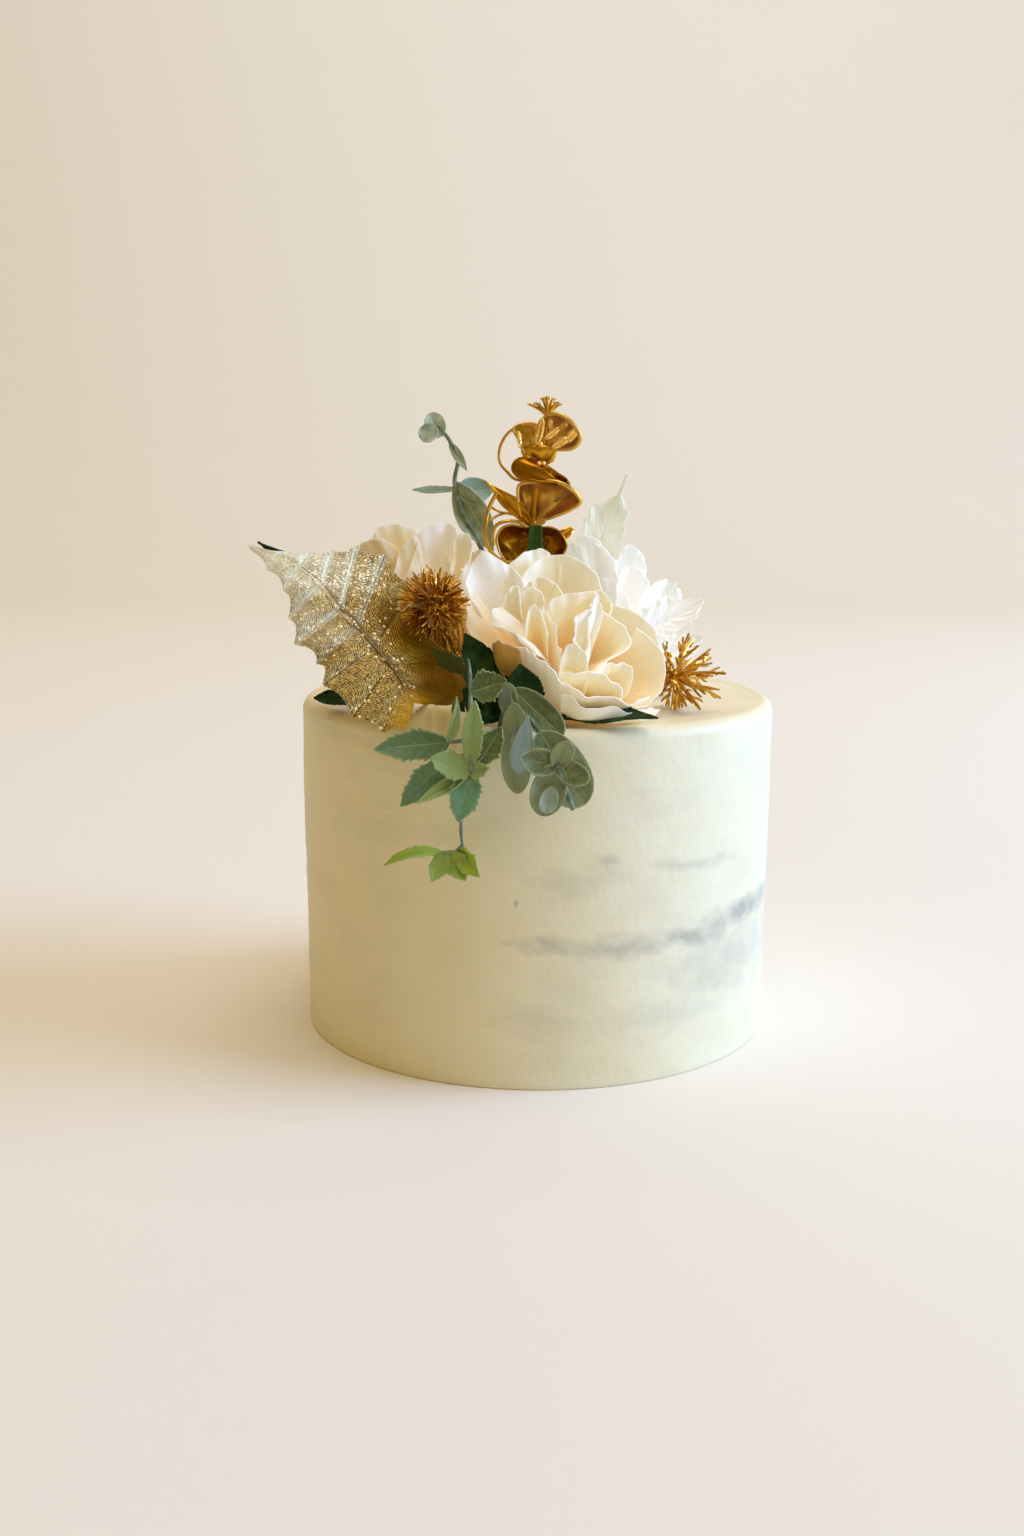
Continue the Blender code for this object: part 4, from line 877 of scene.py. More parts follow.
def make_back_rose(finishes):
    """The second cream rose, behind the gold leaf on the left."""
    base = (-28, 0, 124)
    axis = (-0.25, -0.4, 0.88)
    drawn = [
        # The tone of each petal paints light and shade: towards 1 a painted highlight, below 0 painted shade
        # tone, waist, rim: the petals that look forward, from left to right
        (0.1, (-42, -4, 143), [(-54.6, -8, 160.3), (-53.9, -8, 164.2), (-51.3, -8, 166.5), (-46.8, -7, 167.1),
         (-42.6, -6, 165.8), (-39.6, -6, 163.6), (-40.8, -8, 157.1)]),
        (-0.5, (-42, -12, 139), [(-59.3, -14, 153.8), (-58.2, -14, 159.6), (-55.3, -14, 162.5),
         (-51.1, -14, 162.6), (-47.3, -13, 160.3), (-45.1, -12, 155.7), (-44.5, -12, 150.9)]),
        (-0.2, (-37, -11, 138), [(-47.4, -16, 146.3), (-46.2, -15, 153.3), (-44.3, -14, 159.1),
         (-41.4, -13, 162.9), (-39.2, -12, 162.9), (-40.5, -13, 157.1), (-43.3, -15, 150.1)]),
        (0.95, (-33, -7, 142), [(-43.2, -12, 153.8), (-40.9, -11, 158.9), (-39.3, -10, 164.1),
         (-36.1, -9, 166.6), (-32.3, -8, 167.6), (-29.1, -7, 167.2), (-26.7, -8, 164.4), (-27.3, -10, 158.3),
         (-28.2, -12, 151)]),
        (0.15, (-26, -8, 139), [(-28.8, -12, 151), (-28.2, -11, 158), (-26.9, -10, 162.5),
         (-24.7, -10, 164.8), (-22.4, -10, 163.5), (-21.7, -10, 160.3), (-23.6, -11, 154.8),
         (-25.9, -12, 149.4)]),
        (-0.4, (-22, -6, 139), [(-25, -9, 149.1), (-23.8, -8, 155), (-21.8, -8, 158.2), (-19.5, -8, 159.2),
         (-17.2, -8, 158.3), (-16.2, -8, 155.7)]),
        (-0.5, (-35, -15, 134), [(-44.4, -22, 143.6), (-43, -22, 148.4), (-39.9, -21, 151.5),
         (-36.4, -20, 152.4), (-32.9, -20, 150.5), (-31.6, -21, 146.1)]),
    ]
    plain = [
        # tip, width, bow, cup, flare, lift: the petals behind and below them
        ((-18, -18, 145), 0.018, 0.004, 0.7, 0.002, 0.0),
        ((-49, -22, 146), 0.020, 0.005, 0.7, 0.002, 0.0),
        ((-57, -6, 150), 0.022, 0.005, 0.7, 0.003, 0.0),
        ((-44, 15, 152), 0.022, 0.004, 0.7, 0.004, 0.0),
        ((-28, 12, 158), 0.022, 0.003, 0.7, 0.003, 0.0),
        ((-16, 6, 150), 0.018, 0.003, 0.7, 0.002, 0.0),
    ]
    plain = [(mm(tip), *sizes) for tip, *sizes in plain]
    plain += ring_of_petals(base, axis, 4, 0.011, 0.033, 0.0170, 0.4, 0.003, 1.0, 0.001, 0.002)
    plain += ring_of_petals(base, axis, 2, 0.004, 0.030, 0.011, 1.1, 0.002, 1.3, 0.000, 0.003)
    # The plain petals get a tone of painted shade
    flower("rose_back", "cream_petal", base, axis, drawn, plain, [(-26.5, 2, 117), sunk(-25, 4)], finishes,
           tone=-0.3)


def make_white_flower(finishes):
    """The looser white flower at the back on the right."""
    base = (28, 17, 122)
    axis = (0.15, -0.25, 0.95)
    drawn = [
        # The tone of each petal paints light and shade: towards 1 a painted highlight, below 0 painted shade
        # tone, waist, rim: the petals that look forward
        (0.0, (16, 10, 144), [(5.9, 8, 154.9), (7.9, 5, 159.1), (11.2, 3, 160.8), (14.2, 3, 159.2),
         (16, 4, 154.5)]),
        (-0.4, (20, 6, 145), [(12, 4, 157), (14.5, 4, 163.1), (16.4, 2, 162.9), (19.1, 1, 161.3),
         (21.8, 0, 158.7), (24.5, 0, 154.5), (26.6, 0, 150.2), (26.6, -1, 144.9)]),
        (0.8, (23, 5, 144), [(16.4, 1, 163.4), (19.7, 0, 161.9), (23.1, -1, 158.3), (26.1, -1, 152.6),
         (27.2, -1, 147.3)]),
        (-0.3, (29, 14, 142), [(27.4, 12, 154.8), (28.3, 12, 158.5), (31, 12, 159.9), (33.7, 11, 158.2),
         (35.7, 10, 155.6), (36.4, 8, 151)]),
        (1.0, (29, 1, 137), [(25.9, -8, 144.8), (26.3, -6, 149.3), (28, -4, 152.4), (31.3, -3, 153.1),
         (34.7, -3, 151.4), (36.6, -4, 148.2), (36.6, -6, 143.4)]),
    ]
    plain = [
        # tip, width, bow, cup, flare, lift: the petals that look back
        ((18, 16, 158), 0.021, 0.002, 0.6, 0.002, 0.0),
        ((31, 24, 155), 0.021, 0.002, 0.7, 0.003, 0.0),
        ((41, 6, 143), 0.018, 0.003, 0.6, 0.002, 0.0),
        ((34, 36, 149), 0.022, 0.003, 0.7, 0.003, 0.0),
        ((47, 26, 146), 0.022, 0.003, 0.7, 0.003, 0.0),
    ]
    plain = [(mm(tip), *sizes) for tip, *sizes in plain]
    plain += ring_of_petals(base, axis, 3, 0.010, 0.032, 0.0170, 0.9, 0.003, 0.9, 0.001, 0.002)
    plain += ring_of_petals(base, axis, 2, 0.003, 0.029, 0.010, 0.2, 0.002, 1.2, 0.000, 0.003)
    flower("flower_white", "white_petal", base, axis, drawn, plain, [(27.5, 18, 116), sunk(27, 19)], finishes,
           ruffle=0.0009)


# The glittering leaves


def make_gold_leaf(finishes):
    """The big gilded leaf over the front rim: cloth puffed up between its veins, with a lobed edge.

    Each list has the foot, the ends of the veins and the tip: on the midrib, and on the edge at either side.
    """
    midrib = [(-35.9, -76.5, 118.3), (-38.9, -75, 123.3), (-43.1, -72.5, 128.8), (-48, -70, 133.8),
              (-53.3, -67, 139.3), (-58.3, -64, 144.3), (-64.3, -60, 151.1), (-71.5, -55, 156),
              (-78.9, -50, 159), (-88, -46, 161.7)]
    lower = [(-37.3, -81, 112.2), (-43.8, -86, 111.6), (-52.2, -87, 115.9), (-60.9, -83, 124.5),
              (-63.4, -78, 130.2), (-70.5, -73, 135.1), (-73, -67, 142.1), (-75.5, -61, 149.6),
              (-81.3, -54, 155.3), (-88.3, -46, 161.4)]
    upper = [(-31.9, -66, 116.1), (-23.1, -52, 115.6), (-22.1, -46, 127.3), (-39.2, -38, 148.1),
              (-47.8, -36, 158.4), (-56.2, -38, 161.2), (-63.5, -39, 160), (-70.1, -41, 159.7),
              (-77.6, -44, 159.8), (-87.7, -46, 161.9)]
    rows, columns = 270, 72
    v, u = steps(rows, columns)
    middle, low, high = (smoothed(mm(line), rows + 1)[:, None, :] for line in (midrib, lower, upper))
    edge = np.where((u < 0)[..., None], low, high)
    reach = np.abs(u)
    place = GOLD_LEAF_RIBS * v
    between = np.abs(np.sin(math.pi * place))
    fade = np.sin(math.pi * v) ** 0.4
    saw = (v * GOLD_LEAF_TEETH) % 1.0
    wide = np.linalg.norm(edge - middle, axis=-1)
    grow = (GOLD_LEAF_LOBE * (0.25 - between) + 0.0006 * (saw - 0.5)) * reach**4 * fade
    share = reach * (1 + grow / np.maximum(wide, 0.002))
    grid = middle + (edge - middle) * share[..., None]
    vein_off = np.abs(place - np.round(place))
    puff = GOLD_LEAF_PUFF * between**0.7 * np.minimum(1.0, 2.5 * reach) * (1 - 0.3 * reach)
    belly = GOLD_LEAF_BELLY * reach * (1 - reach)
    vein = GOLD_LEAF_VEIN * np.exp(-((vein_off - 0.05) / 0.025) ** 2) * np.minimum(1.0, 4 * reach)
    crease = 0.0012 * np.exp(-(u / 0.05) ** 2)
    crumple = 0.0005 * uneven(grid, 0.011, 21) * reach + 0.00018 * uneven(grid, 0.003, 22)
    grid[..., 1] -= (puff + belly + vein + crease) * fade - crumple
    piece = Piece()
    piece.sheet(grid, u, v, LEAF_THICKNESS)
    spine = smoothed(mm(midrib), 60)[6:38] - (0, 0.0012, 0)
    piece.rod(spine, 0.00032 * np.sin(math.pi * np.linspace(0.02, 0.98, len(spine))) ** 0.5, 0, 1.0)
    piece.rod(smoothed(mm([(-37.5, -75, 120), (-38.5, -66, 114), sunk(-38, -60)]), 12), STEM_RADIUS, 0, 1.0)
    piece.made("leaf_gold", "gold_cloth", *finishes)


def make_silver_leaves(finishes):
    """The pale glittering leaves: one at the back that points up, and a group on the right."""
    piece = Piece()
    leaf(piece, mm((15.5, 32, 146)), mm((31, 37, 183)), (-0.2, -1, 0.1), 0.0165, tailed_outline, 0.002, 0.4,
         teeth=7, tooth=0.45, rows=84, columns=22, tone=0.1, groove=0.0008, wave=0.12)
    piece.rod(smoothed(mm([(15.7, 32, 147), (12, 30, 130), sunk(11, 29)]), 14), STEM_RADIUS, 1)
    piece.made("leaf_silver_up", "silver_cloth", *finishes)
    piece = Piece()
    fork = mm((41, -11, 116))
    leaves = [
        # base, tip, width
        ((30, -10, 131), (55.8, 3, 142.3), 0.0145),
        ((38, -13, 124), (55.0, -5, 130.8), 0.0115),
        ((38, 3, 137), (46.5, 8, 148), 0.0090),
    ]
    for index, (base, tip, width) in enumerate(leaves):
        base = mm(base)
        tip = mm(tip)
        leaf(piece, base, tip, (-0.3, -1, 0.3), width, leaf_outline, 0.002, 0.4, phase=2.0 * index,
             teeth=7, tooth=0.4, rows=70, columns=22, tone=0.9, groove=0.0008, wave=0.10)
        line = smoothed([base + unit(tip - base) * 0.002, 0.5 * (base + fork), fork], 10)
        piece.rod(line, THIN_STEM_RADIUS, 1)
    piece.rod(mm([(41, -11, 117), sunk(37.5, -11)]), STEM_RADIUS, 1)
    piece.made("leaf_silver_side", "silver_cloth", *finishes)


# The gilded pieces


def make_spiky_ball(finishes):
    """The dense gilded ball of curved spikes, with a tuft below it."""
    centre = mm((-31.6, -57, 145))
    draw = np.random.default_rng(7)
    piece = Piece()
    # The core, painted dark as shade
    piece.ball(centre, 0.0052, tone=-0.9)
    # Spikes with random tones, from painted shade to a painted highlight
    for index in range(BALL_SPIKES):
        out = unit(spiral(index, BALL_SPIKES) + draw.normal(0, 0.13, 3))
        reach = 0.0118 * draw.uniform(0.80, 1.0)
        bend = draw.normal(0, 0.0007, 3)
        line = smoothed([centre + out * 0.003, centre + out * 0.55 * reach + bend, centre + out * reach], 6)
        piece.rod(line, SPIKE_RADII, 0, draw.uniform(-0.9, 0.7), sides=6)
    for index in range(TUFT_SPIKES):
        start = centre + draw.normal(0, 0.0025, 3) + (0.003, 0, -0.004)
        end = mm((-23.5, -58.5, 130)) + draw.normal(0, 0.0022, 3)
        line = smoothed([start, 0.5 * (start + end) + draw.normal(0, 0.0008, 3), end], 7)
        piece.rod(line, np.linspace(0.00045, 0.00018, 7), 0, draw.uniform(0, 0.3)**2, sides=5)
    stem = mm([(-31.6, -57, 145), (-26.5, -54, 131), (-24, -50, 120), sunk(-23, -48)])
    piece.rod(smoothed(stem, 16), STEM_RADIUS, 1)
    piece.made("spiky_ball", "gilt", *finishes)


def make_spiky_burst(finishes):
    """The open gilded burst on the right: wavy forked arms round a hub on the cake."""
    hub = mm((43.4, -39, 121.6))
    draw = np.random.default_rng(8)
    piece = Piece()
    piece.ball(hub, 0.0022)
    lowest = CAKE_TOP + 0.0008
    for index in range(BURST_ARMS):
        out = spiral(index, BURST_ARMS)
        reach = 0.0163 * draw.uniform(0.80, 1.0)
        if out[0] < -0.25:
            reach *= 0.55
        if out[2] < 0:
            reach = min(reach, (hub[2] - lowest) / -out[2])
        bend = draw.normal(0, 0.0006, 3)
        line = smoothed([hub, hub + out * 0.5 * reach + bend, hub + out * reach], 8)
        piece.rod(line, np.linspace(0.00070, 0.00038, 8), 0, draw.uniform(0, 0.2), sides=6)
        for share in (0.42, 0.62, 0.80):
            swing = unit(np.cross(out, draw.normal(0, 1, 3)))
            start = hub + out * reach * share
            end = start + (out * 0.8 + swing * 0.55) * reach * (1.04 - share) * 0.75
            end[2] = max(end[2], lowest)
            twig = smoothed([start, 0.5 * (start + end) + swing * 0.0004, end], 5)
            piece.rod(twig, np.linspace(0.00052, 0.00032, 5), 0, draw.uniform(0, 0.2), sides=5)
    piece.rod(np.array([hub, (hub[0], hub[1], SUNK)]), THIN_STEM_RADIUS, 0)
    piece.made("spiky_burst", "gilt", *finishes)


def make_gold_spray(finishes):
    """The tall gilded sprig: a stem with curled leaves whose rims are beaded, hoops, discs and a crown."""
    stem = [sunk(1, 8), (0, 6, 135), (-1.5, 3, 156), (-1.9, 0, 165.8), (-1.6, 0.5, 173.4), (-0.7, 1, 181),
            (0.3, 1, 186.4), (1.8, 0.5, 194.5), (2.6, 0, 202)]
    piece = Piece()
    piece.rod(smoothed(mm(stem), 54), np.linspace(0.0013, 0.0008, 54), 0)
    shapes = [
        # The tone of each leaf paints light and shade: towards 1 a painted highlight, below 0 painted shade
        # bead, tone, foot, waist, rim: the open cup of the head
        (0.75, 0.35, (0.5, 1, 192.5), (5.5, 6, 197.2), [ (0.5, 0, 200.9), (2.7, -2, 202.4), (6, -3, 202.7),
         (9.6, -4, 200.8), (12.2, -4, 197.7), (13.2, -4, 194.5), (11, -3, 191.9), (6.8, -2, 191.3),
         (3.2, -1, 191.6)]),
        # the funnel on its left and the neck below it
        (0.40, 0.1, (-2.1, 0, 187.3), (-3.1, -1, 192.8), [ (-6, -2, 191.5), (-7.3, -2, 195),
         (-8.7, -1, 197.9), (-6.1, 0, 199.6), (-2.8, 0, 199.3), (0.1, 0, 198.6), (1.8, -1, 194.5)]),
        (0.0, 0.0, (-0.4, 0, 186.1), (-0.4, -3, 189.3), [ (-5, -1, 188.3), (-5.7, -1, 191.5),
         (-2.7, -2, 192.5), (1.8, -2, 192.5), (5.5, -1, 191.3), (4.5, 0, 187.7)]),
        # the spoon that sweeps to the right, in painted shade
        (0.35, -0.9, (9.5, -2, 179.3), (1.9, -8, 183.5), [ (5.5, -4, 181.3), (0.3, -5, 181.3),
         (-4.6, -5, 181.6), (-7.9, -5, 183.1), (-8.9, -4, 185.7), (-7.3, -3, 188.3), (-4, -2, 188.6),
         (0.2, -2, 187.7), (4.2, -2, 185.1), (8.2, -2, 182.2)]),
        # the broad leaf that opens to the right
        (0.80, 0.2, (-1.9, 0, 166.8), (3, 5, 173.3), [ (-5.9, -1, 169.5), (-6.8, -1.5, 175), (-6.4, -2, 180),
         (-1, -3, 180.9), (2.9, -5, 181.3), (6.8, -6, 180.7), (10.4, -6, 178.8), (12.8, -5, 176.5),
         (13.5, -4, 174.2), (10.2, -4, 171.9), (5.7, -3, 169.9), (2.1, -2, 168.6)]),
        # the pointed leaf on the left
        (0.30, 0.0, (-1.9, 0, 166.2), (-7.9, -2, 172.4), [ (-6.5, 1, 168.6), (-12.6, 1, 173.8),
         (-16.4, 2, 180), (-16.6, 2, 180.2), (-10.9, 0, 177.4), (-5.6, -1, 174.8)]),
        # the two discs at the bottom, in painted shade
        (0.45, -0.9, (-1.6, 2, 163.3), (-5.0, 5, 159), [ (-1.5, -1, 166.5), (-5.2, -2, 166.3),
         (-8.8, -3, 167), (-12, -3, 166), (-13.8, -3, 163), (-13.4, -3, 159.4), (-11.7, -3, 156.2),
         (-8.4, -3, 152.8), (-2.8, -3, 151)]),
        (0.0, -0.8, (-1.0, 2, 163.3), (1.8, 5, 159), [ (-1.5, -1, 166.5), (1.4, -2, 166.2), (4.7, -3, 166.1),
         (7.7, -3, 164.1), (9.4, -3, 160.5), (7.3, -3, 156.2), (3.2, -3, 152.8), (-2.8, -3, 151)]),
    ]
    for bead, tone, foot, waist, rim in shapes:
        shaped_leaf(piece, mm(foot), mm(waist), mm(rim), bead * 0.001, tone)
    folds = [
        # base, tip, width, tone: small folded lobes inside the cup, and the strip beside it, bright with
        # painted highlights
        ((1.8, -1.5, 194.9), (6.4, -3, 198.2), 0.0022, 1.0),
        ((4.1, -2, 192.0), (9.4, -4, 194.9), 0.0027, 1.0),
        ((6.3, 0, 197.2), (8.9, -2, 200.2), 0.0021, 0.7),
        ((8.7, -2, 193.9), (12.6, -4, 198.2), 0.0030, 1.0),
        ((3.4, -1, 197.8), (3.6, -2, 201.0), 0.0015, 1.0),
        ((-0.8, -3, 193.0), (0.9, -3, 201.3), 0.0027, 0.6),
        ((-6.3, -2.4, 192.0), (-6.9, -2.4, 197), 0.0015, 1.0),
        ((-1.6, -1, 166.2), (2.4, -3, 168.8), 0.0020, 0.4),
        ((4.8, 3, 161), (11.4, 5, 165.5), 0.0040, 0.1),
    ]
    for base, tip, width, tone in folds:
        leaf(piece, mm(base), mm(tip), (0, -1, 0.2), width, disc_outline, 0.0003, 1.2, tone=tone,
             thickness=GILT_THICKNESS, rows=16, columns=10)
    hoops = [
        # radius of the wire and the points on it
        (0.50, [(0.1, 0, 199), (-3.8, 0, 199.9), (-8.7, 0, 197.9), (-11.3, 0, 195.4), (-12.9, 0, 192.1),
         (-13.3, 0, 188.9), (-12.6, 0, 186.3), (-10.6, 0, 184.1), (-8, 0, 181.8), (-3, 1, 180.8)]),
        (0.70, [(-13.9, 0, 177.5), (-16.2, -1, 173), (-17.4, -2, 168.4), (-17.7, -3, 164.2), (-16.7, -4, 160),
         (-14.7, -5, 157.1), (-11.7, -5, 155.2), (-8.1, -4, 154.8), (-3.5, -2, 156.7)]),
        (0.60, [(-14.7, -4, 160.4), (-15, -4, 164.6), (-13.4, -4, 167.2), (-10.1, -4, 168.2),
         (-6.8, -3, 167.9), (-3.9, -2, 166.2)]),
        (0.42, [(-15.9, 1, 172.6), (-13.5, 0, 171.3), (-10.9, 0, 170.7), (-7.2, 0, 169.7), (-4.6, 0, 167.8),
         (-2.6, 0, 166.2)]),
        (0.42, [(-16.8, -1, 167.8), (-13.9, 0, 169.7), (-10.9, 0, 170.7)]),
    ]
    for radius, points in hoops:
        piece.rod(smoothed(mm(points), 7 * len(points)), radius * 0.001, 0, 0.2)
    # Pearls with a painted highlight
    for pearl in mm([(-0.1, -4.5, 187), (1.5, -4.5, 187), (0.5, -4.5, 193.1)]):
        piece.ball(pearl, 0.0007, tone=1.0)
    top = mm((2.7, 0, 202.3))
    crown = [(-3.5, 0, 206), (-1.2, -1, 206.3), (1, 1, 208), (2.3, -1, 208.4), (4.3, 1, 207.9),
             (5.6, -1, 206.6), (6.6, 0, 206)]
    for tip in mm(crown):
        line = smoothed([top, 0.5 * (top + tip) + (0, 0, 0.0004), tip], 7)
        piece.rod(line, np.linspace(0.0007, 0.0004, 7), 0, 0.1, sides=7)
        fork = line[4]
        for aside in (-0.9, 0.9):
            end = fork + (tip - fork) * 0.8 + mm((aside, 0, 0.2))
            piece.rod(np.array([fork, end]), 0.0003, 0, 0.4, sides=5)
    piece.made("spray_gold", "gilt", *finishes)


# The green sprigs


def sprig(node, slot, stems, leaves, finishes, stem_radius, **details):
    """Stems, and leaves whose rows are base, tip, face, width, outline, bow, cup, teeth and tone."""
    piece = Piece()
    for points in stems:
        count = 6 * len(points)
        piece.rod(smoothed(mm(points), count), np.linspace(stem_radius, 0.7 * stem_radius, count), 1, sides=8)
    for index, (base, tip, face, width, outline, bow, cup, teeth, tone) in enumerate(leaves):
        start = mm(base) - unit(mm(tip) - mm(base)) * (0.6 * stem_radius)
        leaf(piece, start, mm(tip), face, width, outline, bow, cup, phase=index, teeth=teeth, tone=tone,
             rows=6 * teeth or 30, **details)
    piece.made(node, slot, *finishes)


def make_back_sprig(finishes):
    """The green sprig that stands behind the roses, with two round buds at its top."""
    front = (0, -1, 0.2)
    stem = [sunk(-8, 16), (-11, 15, 135), (-18.5, 13, 156), (-25.5, 12, 170), (-28.5, 12, 180),
            (-27.4, 12, 188), (-30, 12, 194), (-34, 12, 199)]
    leaves = [
        ((-30, 12, 193.5), (-24.3, 10, 184.5), front, 0.0034, leaf_outline, 0.0005, 0.4, 0, 0.5),
        ((-28.2, 12, 178.3), (-42.5, 9, 178), (0, -0.7, 0.7), 0.0036, leaf_outline, 0.0005, 0.5, 0, 0.3),
        ((-27.8, 12, 180), (-15.5, 12, 157.5), (-0.3, -1, 0.2), 0.0125, leaf_outline, 0.001, 0.7, 0, 0.45),
        ((-27.5, 12, 177), (-15, 16, 178.5), front, 0.010, leaf_outline, 0.001, 0.6, 0, 0.25),
        ((-33.5, 12, 196), (-36.5, 11.5, 203.2), front, 0.0072, disc_outline, 0.0, 0.5, 0, 0.62),
        ((-35, 10.8, 198.5), (-39.6, 10, 194.6), front, 0.0066, disc_outline, 0.0, 0.5, 0, 0.5),
    ]
    sprig("sprig_back", "grey_green", [stem], leaves, finishes, 0.0009)


def make_eucalyptus(finishes):
    """The eucalyptus sprig that hangs over the front rim and ends in a rosette of round leaves."""
    front = (0, -1, 0.25)
    front_left = (-0.4, -1, 0.1)
    heart = (5.6, -101.5, 104.7)
    stems = [
        [sunk(-11, -70), (-9, -76, 117), (-4, -82, 116.5), (1, -86, 111), (4, -92, 106), (5.6, -101, 104.6)],
        [(-4, -82, 116.5), (-7, -86, 109), (-5.2, -91.2, 100.7)],
        [(-9.5, -78, 118), (-8.2, -80, 116)],
        [heart, (10.2, -103.5, 92.8)],
    ]
    leaves = [
        # base, tip, face, width, outline, bow, cup, teeth, tone; tones above 1 mix in a painted bluish
        # reflection
        ((-6.6, -83, 118.6), (-5.1, -90, 94.6), front_left, 0.0098, disc_outline, 0.001, 0.5, 0, 1.0),
        ((-6.5, -81, 122.5), (7.2, -86, 110.5), (-0.1, -1, 0.4), 0.0095, disc_outline, 0.001, 0.4, 0, 0.25),
        ((-8.2, -80, 116), (-8.7, -81, 125), front_left, 0.0062, disc_outline, 0.001, 0.6, 0, 1.4),
        ((-5.2, -92, 101), (-2.8, -96, 117.7), front_left, 0.0072, spear_outline, 0.001, 0.6, 0, 2.0),
        ((1.1, -98, 112.9), (13.1, -97, 92.7), front, 0.0145, disc_outline, 0.001, 0.4, 0, 0.55),
        (heart, (8.6, -104.5, 112), (0.1, -1, -0.1), 0.0064, disc_outline, 0.001, 0.6, 0, 0.7),
        (heart, (14.2, -104.5, 101), front, 0.0068, disc_outline, 0.001, 0.6, 0, 0.45),
        (heart, (1.3, -103.5, 91.2), front, 0.0100, disc_outline, 0.001, 0.5, 0, 1.05),
        ((4.2, -104, 98.5), (2.4, -105, 92), front, 0.0050, disc_outline, 0.0005, 0.5, 0, 1.4),
        (heart, (-4.6, -104, 107.3), front, 0.0078, leaf_outline, 0.001, 0.5, 0, 0.35),
    ]
    sprig("sprig_eucalyptus", "grey_green", stems, leaves, finishes, 0.0010, rim=0.00026)


def make_serrated_sprig(finishes):
    """The light green sprig with toothed leaves that trails down the front of the cake."""
    front = (0, -1, 0.25)
    front_left = (-0.2, -1, 0.35)
    up = (0, -0.7, 0.9)
    node = (-19, -88.5, 100.5)
    side_node = (-25.5, -87.5, 108.6)
    stems = [
        [sunk(-20, -67), (-19.3, -78, 121), (-19, -85, 116.5), (-19.5, -88, 109.5), (-18.7, -88.5, 101),
         (-19.8, -88.5, 96), (-21.6, -88, 85), (-21, -88.5, 77.5)],
        [(-19.2, -79, 121), (-19.6, -76, 127), (-20.2, -75.5, 131)],
        [(-19.5, -88, 109.5), (-22, -87.6, 109), side_node],
        [node, (-14.5, -87.5, 105.5)],
        [(-21.2, -88.5, 78.5), (-23.5, -88.6, 76.6), (-27.5, -88.5, 76.5)],
        [side_node, (-26.5, -88, 106), (-26.2, -88.5, 103)],
    ]
    leaves = [
        # base, tip, face, width, outline, bow, cup, teeth, tone: round the upper node
        # The first leaf, at tone -2, is painted in deep shade
        ((-20.5, -75.5, 127), (-30.4, -79, 134.6), (-0.7, -1, -0.2), 0.0070, leaf_outline, 0.0005, 0.5, 7,
         -2.0),
        ((-18.8, -79, 122), (-8.9, -80, 125.6), front_left, 0.0100, leaf_outline, 0.0005, 0.5, 7, 0.3),
        (side_node, (-22.8, -88, 121.9), (0.5, -1, 0), 0.0034, spear_outline, -0.002, 0.7, 0, 0.8),
        ((-23, -88, 121.6), (-22.6, -86.6, 112), (-0.7, -1, 0), 0.0030, leaf_outline, 0.0, 0.7, 0, 0.3),
        # round the lower node
        (side_node, (-46, -91.5, 107.2), front, 0.0096, leaf_outline, 0.0005, 0.5, 10, -0.25),
        ((-18.9, -88.4, 102.5), (-17.4, -93, 121.5), front, 0.0066, leaf_outline, 0.0005, 0.6, 9, 0.9),
        ((-16.7, -88.3, 102.6), (-10, -88, 113.3), front, 0.0080, leaf_outline, 0.0005, 0.5, 7, 0.3),
        (node, (-30, -93.5, 105.1), (0.6, -1, 0.4), 0.0092, leaf_outline, 0.0005, 0.5, 6, 0.85),
        ((-26.2, -88.5, 103.5), (-38.8, -90.5, 90.5), (0.3, -1, 0.2), 0.0088, leaf_outline, 0.0005, 0.5, 9,
         -0.5),
        (node, (-33.7, -95, 92.5), (0, -1, 0.6), 0.0044, leaf_outline, 0.0005, 0.5, 0, 1.0),
        (node, (-22.2, -93, 86.6), (0.2, -1, 0.2), 0.0098, leaf_outline, 0.0005, 0.5, 9, -0.8),
        (node, (-13.6, -91, 102), front, 0.0056, spear_outline, 0.0005, 0.5, 6, 0.9),
        # the lime leaves at the end
        ((-27.5, -88.5, 76.5), (-43.4, -91, 73.3), up, 0.0046, leaf_outline, -0.0025, 0.5, 9, 1.8),
        ((-25.8, -88.6, 76.5), (-29.8, -92.5, 69), front, 0.0062, leaf_outline, 0.0005, 0.5, 6, 1.5),
        ((-25.2, -88.6, 76.6), (-20, -92.5, 69.4), front_left, 0.0076, leaf_outline, 0.0005, 0.6, 6, 1.6),
        ((-22.5, -88.6, 77.5), (-16.2, -94.5, 71), (-0.7, -1, 0.3), 0.0070, leaf_outline, 0.0005, 0.8, 6,
         2.0),
    ]
    sprig("sprig_serrated", "light_green", stems, leaves, finishes, 0.0007, tooth=0.30)


